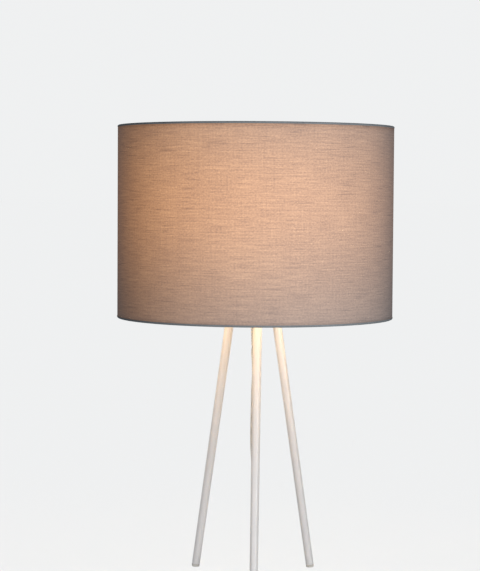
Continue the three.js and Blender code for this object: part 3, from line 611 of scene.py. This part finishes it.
# ---- shade
def wall(name, radius, low, high, lap, material, sides=240, rows=28):
    """A sheet rolled into a cylinder; its end laps over its start at the back."""
    verts, faces = [], []
    whole = FULL + lap / radius
    rise = 10  # the length over which the end rises on to the start
    for j in range(rows + 1):
        z = low + (high - low) * j / rows
        for i in range(sides + 1):
            turn = whole * i / sides
            over = max(0.0, turn - FULL + rise / radius) * radius / rise
            verts.append(polar(radius + CLOTH_THICK * min(1.0, over) ** 2, math.pi / 2 + turn, z))
    for j in range(rows):
        for i in range(sides):
            a = j * (sides + 1) + i
            faces.append((a, a + 1, a + sides + 2, a + sides + 1))
    sheet = add_mesh(name, verts, faces, material)
    thicken = sheet.modifiers.new("thickness", "SOLIDIFY")
    thicken.thickness = CLOTH_THICK * MM
    thicken.offset = -1.0
    return sheet


def hem_outline(end, up):
    """The folded edge: a lip outside, a round over the ring, and a longer lip inside."""
    outside, inside = outer_radius("shade_top_hem"), outer_radius("shade_top_ring") - 3.6
    thick, lip, deep = CLOTH_THICK, 2.2, 3.5
    points = [  # radius, depth from the shade's end, easing
        (outside - 0.1, lip, 0.15), (outside, 1.4, 0.3), (outside - 0.1, 0, 1.3),
        (inside, 0, 1.3), (inside, deep, 0.15), (inside + thick, deep, 0.15),
        (inside + thick, thick, 0.9), (outside - thick, thick, 0.9),
        (outside - thick, lip, 0.1),
    ]
    return [(radius, end - up * depth, ease) for radius, depth, ease in points]


def add_shade():
    low, high = heights("shade_fabric")
    cloth = wall("shade_cloth", outer_radius("shade_top_hem") - 0.3, low, high, SEAM_LAP, CLOTH)
    put(cloth, "shade_fabric", "shade_fabric")
    liner = wall("shade_film", outer_radius("shade_liner"), low, high, 8, FILM)
    put(liner, "shade_film", "shade_liner")
    hems = []
    for node, end, up in (("shade_top_hem", SHADE_HIGH, 1), ("shade_bottom_hem", SHADE_LOW, -1)):
        hem = turned(f"{node}_cloth", hem_outline(end, up), HEM, 240)
        hems.append(put(hem, "shade_edge", node))
    for node in ("shade_top_ring", "shade_bottom_ring"):
        wire, middle = half_size(node).z, centre(node).z
        outline = [(r + outer_radius(node) - wire, z + middle, 0) for r, z in round_section(wire, 12)]
        put(turned(f"{node}_wire", outline, PAINT, 160), "white_paint", node)
    return [cloth, *hems]


def add_carrier():
    """Three wire arms welded to the flat ring that the holder's nut clamps."""
    low = lowest("shade_ring_nut") - 2.3
    bore, outer = 20.6, 29
    ring = turned("carrier_ring", band(bore, outer, low, low + 2, 0.4, 0.4), PAINT, 96)
    put(ring, "white_paint", "shade_carrier")
    reach = outer_radius("shade_bottom_ring") - 1.5
    over = highest("shade_bottom_ring") + 1.9
    route = [
        (outer - 1.6, low + 1), (outer + 6, low - 0.5), (reach - 28, over + 5),
        (reach - 12, over + 0.6), (reach + 1, over),
    ]
    for i, degrees in enumerate((90, 210, 330)):
        path = smooth_path([polar(r, math.radians(degrees), z) for r, z in route], 3)
        arm = tube(f"carrier_arm_{i + 1}", path, 1.6, PAINT, 16)
        put(arm, "white_paint", "shade_carrier")


# ---- legs
def leg_axis(side):
    """(foot end, top end, radius at the foot end, radius at the top end) of a leg's tube."""
    corners = {tuple(round(c, 6) for c in v.co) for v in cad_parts[f"{side}_leg"].data.vertices}
    points = [Vector(p) / MM for p in corners]
    middle = sum(p.z for p in points) / len(points)
    ends = []
    for end in ([p for p in points if p.z < middle], [p for p in points if p.z > middle]):
        at = sum(end, Vector()) / len(end)
        ends.append((at, max((p - at).length for p in end)))
    (foot, foot_radius), (top, top_radius) = ends
    return foot, top, foot_radius, top_radius


def along_leg(foot, top):
    """The matrix from a leg's own frame, whose origin is on the surface, and the length to its top."""
    up = (top - foot).normalized()
    ground = foot - up * (foot.z / up.z)
    out = Vector((ground.x, ground.y, 0))
    out = (out - up * out.dot(up)).normalized()
    axes = Matrix((out, up.cross(out), up)).transposed()
    return Matrix.Translation(ground) @ axes.to_4x4(), (top - ground).length


def add_leg(side):
    """The tapered tube, its foot cap, and the washer and screw that hold it to the hub."""
    foot, top, foot_radius, top_radius = leg_axis(side)
    matrix, length = along_leg(foot, top)
    start = length - (top - foot).length
    thick = 1.0
    tube_outline = [
        (foot_radius - thick, start, 0.1), (foot_radius, start, 0.3),
        (top_radius, length, 0.2), (top_radius - thick, length, 0.1),
    ]
    put(turned(f"{side}_leg_tube", tube_outline, PAINT, 48, matrix), "white_paint", f"{side}_leg")
    spigot = foot_radius - 1.3
    cap_outline = [
        (0, -0.5, 0), (foot_radius - 0.9, -0.5, 0.7), (foot_radius, 0.9, 0.6),
        (foot_radius, start - 0.3, 0.2), (spigot, start - 0.3, 0),
        (spigot, start + 10, 0.3), (0, start + 10, 0),
    ]
    cap = turned(f"{side}_foot_cap", cap_outline, SOFT_CLEAR, 48, matrix)
    for vertex in cap.data.vertices:
        vertex.co.z = max(vertex.co.z, 0.0)
    put(cap, "clear_rubber", f"{side}_foot")
    under = length + 3.6  # clear of the hub's plate
    bore, rim = 2.3, 5
    washer = turned(f"{side}_washer", band(bore, rim, under, under + 1, 0.1, 0.2), ZINC, 40, matrix)
    put(washer, "zinc", f"{side}_leg_washer")
    head = under + 1.3
    screw_outline = [
        (0, head - 18, 0), (2, head - 18, 0.3), (2, head, 0), (4, head, 0.2),
        (3.8, head + 2, 0.9), (2.2, head + 2.9, 0.5), (1.5, head + 2.9, 0.1),
        (1.4, head + 1.5, 0), (0, head + 1.2, 0),
    ]
    put(turned(f"{side}_screw", screw_outline, ZINC, 36, matrix), "zinc", f"{side}_leg_screw")


# ---- hub
ROD_BORE = 5.3  # radius of the holes for the hollow rod that holds the hub and the holder together


def hub_reach(turn, arms):
    """How far out the hub plate goes in a direction: a disc with three rounded arms."""
    disc, half = 20, 8
    total = disc**24
    for out, offset, far, _ in arms:
        angle = turn - out
        low, high = 0.0, 60
        for _ in range(24):
            middle = (low + high) / 2
            a, b = middle * math.cos(angle), middle * math.sin(angle) - offset
            inside = a > 0 and math.hypot(max(a - far, 0.0), b) < half
            low, high = (middle, high) if inside else (low, middle)
        total += low**24
    return total ** (1 / 24)


def hub_arms():
    """(direction, sideways offset, reach, lean) of the arm over each leg."""
    arms = []
    for side in SIDES:
        foot, top, *_ = leg_axis(side)
        out = math.atan2(foot.y, foot.x)
        across = -top.x * math.sin(out) + top.y * math.cos(out)
        lean = math.hypot(foot.x - top.x, foot.y - top.y) / (top.z - foot.z)
        arms.append((out, across, top.x * math.cos(out) + top.y * math.sin(out), lean))
    return arms


def add_hub():
    """A pressed plate whose three arms bend up until they lie square across the legs."""
    arms = hub_arms()
    bend, plate, ease = 16, 3, 0.7
    upper = lowest("nipple_washer") - 0.3

    def risen(x, y):
        """How much higher than its middle the plate is; the bend is spread over 3 mm."""
        past = [(x * math.cos(out) + y * math.sin(out) - bend, lean) for out, _, _, lean in arms]
        over = 1.5
        return max(lean * (d if d > over else max(d + over, 0) ** 2 / (4 * over)) for d, lean in past)

    sides = 180
    turns = [FULL * j / sides for j in range(sides)]
    reaches = [hub_reach(turn, arms) for turn in turns]
    profile = [(0.0, -ease), (ease * 0.3, -ease * 0.3), (ease, 0.0)]  # (in from the edge, down)
    shares = [0.0, 0.25, 0.5, 0.75]
    rows = [(share, 0.0, 0.0) for share in shares]
    rows += [(1.0, inset, down) for inset, down in profile[::-1]]
    rows += [(1.0, inset, -plate - down) for inset, down in profile]
    rows += [(share, 0.0, -plate) for share in shares[::-1]]
    rings = []
    for share, inset, down in rows:
        ring = []
        for turn, reach in zip(turns, reaches):
            r = ROD_BORE + (reach - ROD_BORE - ease) * share + (ease - inset if share == 1.0 else 0.0)
            point = polar(r, turn, upper + down)
            point.z += risen(point.x, point.y)
            ring.append(point)
        rings.append(ring)
    put(lofted("hub_plate", rings, PAINT, wrap=True), "white_paint", "leg_hub")


# ---- lamp holder
def add_hex_nut():
    """A six-sided nut with eased corners, a little smaller than the CAD's."""
    low, high = heights("nipple_nut")
    half = half_size("nipple_nut").y * math.cos(math.pi / 6)

    def reach(turn):
        """How much farther the hexagon goes than the circle within it."""
        step = FULL / 6
        return half / math.cos((turn % step) - step / 2) - half

    # Radius, height, and how far past the radius the corners may go.
    outline = [(ROD_BORE, low, 0), (half, low, 0.1), (half, low + 0.6, 2)]
    outline += [(half, high - 0.6, 2), (half, high, 0.1), (ROD_BORE, high, 0)]
    rings = []
    for r, z, most in outline:
        rings.append(level_ring(r, z, 96, lambda turn, most=most: min(reach(turn), most)))
    put(lofted("nipple_hex_nut", rings, ZINC, wrap=True), "zinc", "nipple_nut")


def add_sleeve():
    """The soft tapered sleeve where the cord leaves the lamp, with rings moulded round it."""
    low, high = heights("cord_sleeve")
    collar = lowest("nipple_nut") - 0.3
    bore = CORD / 2 + 0.15
    outline = [(bore, low, 0.1), (3.4, low, 0.3)]
    for i in range(5):
        z = low + 2.2 + 3.2 * i
        r = 3.5 + 0.12 * i
        outline += [(r, z, 0.2), (r - 0.35, z + 0.5, 0.2)]
        outline += [(r - 0.35, z + 1.1, 0.2), (r, z + 1.6, 0.2)]
    outline += [
        (4.4, collar - 3, 0.5), (7.5, collar - 3, 0.8), (7.5, collar, 0.3),
        (3.7, collar, 0), (3.7, high, 0.2), (bore, high, 0.1),
    ]
    return put(turned("cord_sleeve_skin", outline, SOFT_CLEAR, 48), "clear_rubber", "cord_sleeve")


def add_cup():
    """The holder's cup, with fine grooves down its side."""
    low, high = heights("holder_cup")
    outer = outer_radius("holder_cup")
    thick, floor_top = 2, low + 2.5
    outline = [
        (ROD_BORE, low, 0), (outer - 1, low, 3.5), (outer, high, 0.3),
        (outer - thick, high, 0.2), (outer - thick, floor_top, 3),
        (ROD_BORE, floor_top, 0.3),
    ]
    grooves = 36

    def grooved(turn):
        return -0.25 * (0.5 - 0.5 * math.cos(grooves * turn)) ** 4

    rings = []
    for r, z in eased(outline, 5):
        flank = low + 6 < z < high - 1 or z >= high - 0.31
        on_side = r > outer - 1.2 and flank
        rings.append(level_ring(r, z, 288, grooved if on_side else None))
    put(lofted("holder_cup_skin", rings, PLASTIC, wrap=True), "white_plastic", "holder_cup")


def threaded(name, outer, bore, low, high, pitch, deep, material, sides=72):
    """A sleeve with a round thread outside, which fades out at both ends."""
    rows = max(8, round((high - low) / pitch * 6))
    rings = []
    for i in range(rows + 1):
        z = low + (high - low) * i / rows
        fade = min(1.0, min(i, rows - i) / 4)

        def cut(turn, z=z, fade=fade):
            wave = 0.5 - 0.5 * math.cos(FULL * z / pitch - turn)
            return -deep * wave * fade - (1 - fade) * deep

        rings.append(level_ring(outer, z, sides, cut))
    rings += [level_ring(bore, z, sides) for z in (high, low)]
    return lofted(name, rings, material, 50, wrap=True)


def add_shell():
    """The holder's threaded sleeve, on a flange that closes the cup."""
    low, high = heights("holder_shell")
    bore, outer, rim = 14.3, 19.8, 23
    top = low + 3
    flange = [
        (bore, low, 0.2), (rim, low, 0.6), (rim, top, 0.6), (outer - 1.2, top, 0),
        (bore, top, 0),
    ]
    put(turned("holder_flange", flange, PLASTIC, 96), "white_plastic", "holder_shell")
    sleeve = threaded("holder_thread", outer, bore, top, high, 2.6, 0.9, PLASTIC)
    put(sleeve, "white_plastic", "holder_shell")


def add_ring_nut():
    """The nut that clamps the shade's carrier, with notches round it to grip."""
    outer, bore, notches = 25.5, 20.4, 12

    def notched(turn):
        across = (turn * notches / FULL) % 1.0 - 0.5
        return -1.1 * math.exp(-((across / 0.13) ** 4))

    rings = []
    for r, z in eased(band(bore, outer, *heights("shade_ring_nut"), 0.4, 0.8)):
        rings.append(level_ring(r, z, 288, notched if r > outer - 0.9 else None))
    put(lofted("ring_nut_skin", rings, PLASTIC, wrap=True), "white_plastic", "shade_ring_nut")


# ---- bulb
def add_bulb():
    """The hollow opal globe, its white housing and its screw cap."""
    radius = outer_radius("bulb_globe")
    rows, thick = 28, 1
    start = math.asin((lowest("bulb_globe") - GLOBE_CENTRE) / radius)
    turns = [start + (math.pi / 2 - start) * i / rows for i in range(rows + 1)]
    outline = []
    for r, arc in ((radius, turns), (radius - thick, turns[::-1])):
        outline += [(r * math.cos(a), GLOBE_CENTRE + r * math.sin(a), 0) for a in arc]
    put(turned("bulb_globe_skin", outline, OPAL, 96), "opal", "bulb_globe", body="bulb")
    foot, top = heights("bulb_housing")
    mouth = outer_radius("bulb_housing")
    housing = [
        (0, foot, 0), (13.4, foot, 0.3), (14.2, foot + 3, 1), (16.5, foot + 12, 4),
        (22, foot + 26, 5), (mouth, top, 0.3), (mouth - 2, top, 0.2),
        (mouth - 2, top - 2, 0), (0, top - 2, 0),
    ]
    skin_piece = turned("bulb_housing_skin", housing, PLASTIC, 96)
    put(skin_piece, "white_plastic", "bulb_housing", body="bulb")
    cap = threaded("bulb_screw_cap", outer_radius("bulb_cap"), 6, *heights("bulb_cap"), 3.6, 1.1, ZINC)
    put(cap, "zinc", "bulb_cap", body="bulb")


# ---- switch
def carved(piece, cutter):
    """Takes the cutter's shape away from the piece, for good; the cutter is deleted."""
    cut = piece.modifiers.new("cut", "BOOLEAN")
    cut.operation = "DIFFERENCE"
    cut.solver = "EXACT"
    cut.object = cutter
    graph = bpy.context.evaluated_depsgraph_get()
    mesh = bpy.data.meshes.new_from_object(piece.evaluated_get(graph))
    piece.modifiers.remove(cut)
    piece.data = mesh
    mesh.shade_smooth()
    mesh.set_sharp_from_angle(angle=math.radians(30))
    bpy.data.objects.remove(cutter)


def switch_half(name, low, high, open_up):
    """One moulded half of the switch's housing, crowned on its closed face."""
    middle, half = centre("switch_base"), half_size("switch_base")
    corner, thick, ease, steps = 8, 1.8, 2.2, 6
    closed, mouth, inwards = (low, high, 1) if open_up else (high, low, -1)
    profile = []  # (in from the side, height), from the closed face's edge to its inside
    for k in range(steps + 1):
        turn = math.pi / 2 * k / steps
        profile.append((ease * (1 - math.sin(turn)), closed + inwards * ease * (1 - math.cos(turn))))
    profile += [(0.0, mouth - inwards * 0.25), (0.25, mouth)]
    profile += [(thick, mouth), (thick, closed + inwards * thick)]
    loops = [rounded_ring(half.x - i, half.y - i, corner - i, z) for i, z in profile]
    outer, inner = (rounded_ring(half.x * 0.3, half.y * 0.3, 2, profile[end][1]) for end in (0, -1))
    matrix = Matrix.Translation((middle.x, middle.y, 0))
    return lofted(name, [outer, *loops, inner], PLASTIC, 40, matrix, capped=True)


def cord_hole(at):
    """A cutter for the holes that the cord goes through, from end to end of the switch."""
    matrix = Matrix.Translation(at) @ Matrix.Rotation(math.pi / 2, 4, "Y")
    return turned("bore", band(0, CORD / 2 + 0.2, -40, 40), PLASTIC, 32, matrix)


def rocker_window():
    """A cutter for the hole in the cover, as far either way, for the rocker tips both ways."""
    middle = centre("switch_base")
    low, high = box("switch_rocker")
    x, y = high.x - middle.x + 0.45, (high.y - low.y) / 2 + 0.4
    rings = []
    for z in (low.z, highest("switch_cover") + 5):
        corners = ((x, y), (-x, y), (-x, -y), (x, -y))
        rings.append([Vector((middle.x + a, middle.y + b, z)) for a, b in corners])
    return lofted("window", rings, PLASTIC, capped=True)


def add_switch():
    """The housing's two halves and the rocker, whose pressed half lies level with the cover."""
    at = centre("switch_base")
    at.z = (highest("switch_base") + lowest("switch_cover")) / 2
    base = switch_half("switch_base_shell", lowest("switch_base"), at.z - 0.15, True)
    cover = switch_half("switch_cover_shell", at.z + 0.15, highest("switch_cover"), False)
    for half in (base, cover):
        carved(half, cord_hole(at))
    carved(cover, rocker_window())
    put(base, "white_plastic", "switch_base")
    put(cover, "white_plastic", "switch_cover")
    rocker = put(rocker_piece(), "white_plastic", "switch_rocker", body="rocker")
    return [base, cover], rocker


def rocker_piece():
    """The see-saw button: two sloping faces, each with raised lines to press on."""
    pivot = centre("switch_base")
    pivot.z = 12.4  # the axis that it rocks about
    tilt = math.radians(7)
    half_x, half_y, middle = 7.2, half_size("switch_rocker").y, 4.8
    edge = 0.5
    lines = [side * 4.6 + (k - 1.5) * 0.9 for side in (-1, 1) for k in range(4)]
    rows = [-half_x, -half_x + edge, 0.0, half_x - edge, half_x]
    rows += [at + off for at in lines for off in (-0.25, -0.1, 0.1, 0.25)]

    def top_at(x):
        height = middle + abs(x) * math.tan(tilt)
        if any(abs(x - at) < 0.15 for at in lines):
            height += 0.15
        if abs(x) > half_x - 0.1:
            height -= 0.45
        return height

    rings = []
    for x in sorted(rows):
        top = top_at(x)
        half = [(half_y, -1), (half_y, top - edge), (half_y - edge, top), (half_y - 1.2, top)]
        ring = [(-y, z) for y, z in half] + half[::-1]
        rings.append([Vector((x, y, z)) for y, z in ring])
    matrix = Matrix.Translation(pivot) @ Matrix.Rotation(tilt, 4, "Y")
    return lofted("rocker_button", rings, DARKER_PLASTIC, 30, matrix, capped=True)


# ---- plug
def plug_stations():
    """(share of the length from the cord's end, half width and half thickness as shares) in turn."""
    stations = [(0.0, 0.2, 0.5), (0.015, 0.235, 0.6)]
    for i in range(4):  # grooves in the neck, which let it bend
        at = 0.045 + 0.05 * i
        wide, deep = 0.24 + 0.012 * i, 0.61 + 0.025 * i
        stations += [(at, wide, deep), (at + 0.006, wide - 0.05, deep - 0.13)]
        stations += [(at + 0.019, wide - 0.05, deep - 0.13), (at + 0.025, wide, deep)]
    stations += [(0.3, 0.3, 0.78), (0.45, 0.4, 0.88), (0.58, 0.62, 0.96), (0.68, 0.88, 1.0)]
    stations += [(0.76, 0.98, 1.0), (0.85, 1.0, 1.0), (0.96, 1.0, 1.0), (0.99, 0.985, 0.96)]
    return stations + [(1.0, 0.95, 0.88)]


def add_plug():
    """The flat plug: a slim neck for the cord, widening to the face with the two pins."""
    low, high = box("plug_body")
    middle, half = centre("plug_body"), half_size("plug_body")
    rings = []
    for share, wide, deep in plug_stations():
        half_y, half_z = half.y * wide, half.z * deep
        ring = rounded_ring(half_y, half_z, half_z * 0.8, 0.0)
        x = high.x - 2 * half.x * share
        rings.append([Vector((x, middle.y + p.x, middle.z + p.y)) for p in ring])
    body = lofted("plug_body_skin", rings, PLASTIC, 50, capped=True)
    made = [put(body, "white_plastic", "plug_body")]
    radius, waist, inside = 2, 1.5, 5  # of a pin: where bare, in its sleeve, and how deep it goes
    for which in WIRES:
        pin_node, sleeve_node = f"plug_pin_{which}", f"plug_pin_sleeve_{which}"
        matrix = Matrix.Translation((low.x, centre(pin_node).y, middle.z))
        matrix = matrix @ Matrix.Rotation(-math.pi / 2, 4, "Y")
        end, sleeve = low.x - box(pin_node)[0].x, low.x - box(sleeve_node)[0].x
        pin = [(0, -inside, 0), (waist, -inside, 0), (waist, sleeve + 0.3, 0)]
        pin += [(radius, sleeve + 0.3, 0.1), (radius, end, 1.3), (0, end, 0)]
        metal = turned(f"plug_{which}_pin", pin, NICKEL, 32, matrix)
        collar_outline = band(radius - 0.45, radius, 0.0, sleeve, 0.0, 0.1)
        collar = turned(f"plug_{which}_collar", collar_outline, BLACK_GLASS, 32, matrix)
        made.append(put(metal, "nickel", pin_node))
        made.append(put(collar, "white_plastic", sleeve_node))
    return made


# ---- the coil's tie
def add_tie():
    """A flat paper strip round the coil, with its ends twisted together on top."""
    hub, high = centre("cord_coil"), highest("cord_coil")
    half, deep, thick = 1.5 * CORD + 0.25, half_size("cord_coil").z + 0.3, 0.45
    matrix = Matrix.Translation((hub.x, hub.y, 0)) @ Matrix.Rotation(math.pi / 4, 4, "Z")
    loop = rounded_ring(half, deep, 2.6, 0.0)
    outer = rounded_ring(half + thick, deep + thick, 3.0, 0.0)
    rings = []
    for across, points in ((-2, loop), (-2, outer), (2, outer), (2, loop)):
        rings.append([matrix @ Vector((COIL_MIDDLE + p.x, across, hub.z + p.y)) for p in points])
    band_piece = put(lofted("cord_tie_band", rings, PAPER, 50, wrap=True), "tie_strip", "cord_tie")
    start = matrix @ Vector((COIL_MIDDLE + half - 1, 0, high + 1.4))
    end = matrix @ Vector((COIL_MIDDLE + half + 11, 3, high - 1))
    path = even_path([start, end], 0.25)
    strip = [p.xy for p in rounded_ring(1.2, 0.6, 0.55, 0.0, 4)]
    tail = lofted("cord_tie_tail", swept(path, strip, 2), PAPER, 50, capped=True)
    return [band_piece, put(tail, "tie_strip")]


# ---- carried-over nodes
KEPT_NODES = (
    (ZINC, ["nipple", "nipple_washer", "bulb_tip"]),
    (ZINC, [f"switch_screw_{end}" for end in SWITCH_ENDS]),
    (ZINC, [f"{side}_leg_insert" for side in SIDES]),
    (BRASS, ["holder_centre_contact", "holder_side_contact", "switch_bridge"]),
    (BRASS, [f"holder_terminal_screw_{wire}" for wire in WIRES]),
    (BRASS, [f"switch_terminal_{end}" for end in SWITCH_ENDS]),
    (CERAMIC, ["holder_contact_block", "bulb_led_board"]),
    (BLACK_GLASS, ["bulb_insulator"]),
)


def finish_kept_nodes():
    for finish, names in KEPT_NODES:
        for name in names:
            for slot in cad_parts[name].material_slots:
                slot.material = finish


# ---- stage and light
STAGE_WHITE = rgb(0.985, 0.995, 1.0)
STAGE_LIGHT = 0.16 * DIM  # what the floor and the world give the lamp


def camera_share(tree, seen):
    """A strength as seen by the camera, and the stage's own light for every other ray."""
    ray = add_node(tree, "ShaderNodeLightPath", output="Is Camera Ray")
    return ramp(tree, ray, 0.0, 1.0, STAGE_LIGHT, seen)


def add_floor():
    """A pale surface that the camera sees evenly lit, while it gives the lamp a softer light."""
    material, tree = new_material("floor")
    inputs = {"Color": STAGE_WHITE, "Strength": camera_share(tree, 0.829 * DIM)}
    light = add_node(tree, "ShaderNodeEmission", inputs)
    surface = add_node(tree, "ShaderNodeBsdfDiffuse", {"Color": rgb(0.3, 0.3, 0.3)})
    ended(material, add_node(tree, "ShaderNodeAddShader", {0: light, 1: surface}))
    floor = lofted("floor", [level_ring(r, 0.0, 96) for r in (0.1, 60000.0)], material)
    floor.location.z = -0.0002
    return floor


def add_world():
    world = bpy.data.worlds.new("studio")
    world.use_nodes = True
    bpy.context.scene.world = world
    tree = world.node_tree
    background = tree.nodes["Background"]
    tree.links.new(camera_share(tree, 0.88 * DIM), background.inputs["Strength"])
    background.inputs["Color"].default_value = STAGE_WHITE


def round_light(name, place, aim, size, power, colour):
    """A soft round light that shines from one place towards another."""
    data = bpy.data.lights.new(name, "AREA")
    data.shape = "DISK"
    data.size = size
    data.energy = power * DIM
    data.color = colour
    light = new_object(name, data)
    light.location = place
    light.rotation_euler = (Vector(aim) - Vector(place)).to_track_quat("-Z", "Y").to_euler()
    return light


def limit_light(light, pieces, link):
    """The light falls on these pieces alone, or on all but them."""
    group = bpy.data.collections.new(f"{light.name}_pieces")
    for piece in pieces:
        group.objects.link(piece)
    for member in group.collection_objects:
        member.light_linking.link_state = link
    light.light_linking.receiver_collection = group


def beside(degrees, distance, height):
    """A place round the lamp, by its angle to the right of the front."""
    turn = math.radians(degrees)
    return (distance * math.sin(turn), -distance * math.cos(turn), height)


def add_lights(floor, shade, on_floor):
    """A near light models the shade alone, and a warm disc in the shade's mouth adds to the bulb's
    light on what is below. Two side lights show the rest, and one above what lies on the floor."""
    level = ((SHADE_LOW + SHADE_HIGH) / 2 - 60) * MM
    mouth, mouth_size = (lowest("leg_hub") - 1) * MM, 1.9 * SHADE_RADIUS * MM
    key = round_light("key", beside(20, 0.75, level), (0, 0, level), 0.4, 2.65, (1.0, 0.985, 0.965))
    limit_light(key, shade, "INCLUDE")
    down = round_light("down", (0, 0, mouth), (0, 0, 0), mouth_size, 0.2, (1.0, 0.55, 0.14))
    down.visible_camera = False
    right = round_light("right", beside(38, 2.2, 0.15), (0, 0, 0.15), 0.7, 30.0, (0.97, 0.985, 1.0))
    left = round_light("left", beside(-38, 2.2, 0.1), (0, 0, 0.15), 1.0, 25.0, (0.97, 0.98, 1.0))
    for light in (down, right, left):
        limit_light(light, [floor, *shade], "EXCLUDE")
    over = round_light("over", beside(0, 0.9, 1.8), (0, -0.1, 0), 0.8, 12.0, (0.97, 0.985, 1.0))
    limit_light(over, on_floor, "INCLUDE")


# ---- the whole lamp
make_camera()
drop, drop_cores, drop_path = add_cord("cord_to_switch", DROP_ROUTE, "cord_drop")
whole_lead = RUN_ROUTE + coil_path() + LEAD_ROUTE
lead, lead_cores, lead_path = add_cord("cord_to_plug", whole_lead, "cord_run", "cord_coil", "cord_lead")
shade_pieces = add_shade()
add_carrier()
for leg_side in SIDES:
    add_leg(leg_side)
add_hub()
add_hex_nut()
sleeve = add_sleeve()
add_cup()
add_shell()
add_ring_nut()
add_bulb()
switch_shells, rocker = add_switch()
plug_pieces = add_plug()
tie_pieces = add_tie()
finish_kept_nodes()
floor = add_floor()
add_world()
add_lights(floor, shade_pieces, [*switch_shells, rocker, *plug_pieces, *tie_pieces, lead, drop])
bpy.context.scene.view_settings.view_transform = "Standard"
bpy.context.scene.view_settings.exposure = EXPOSURE
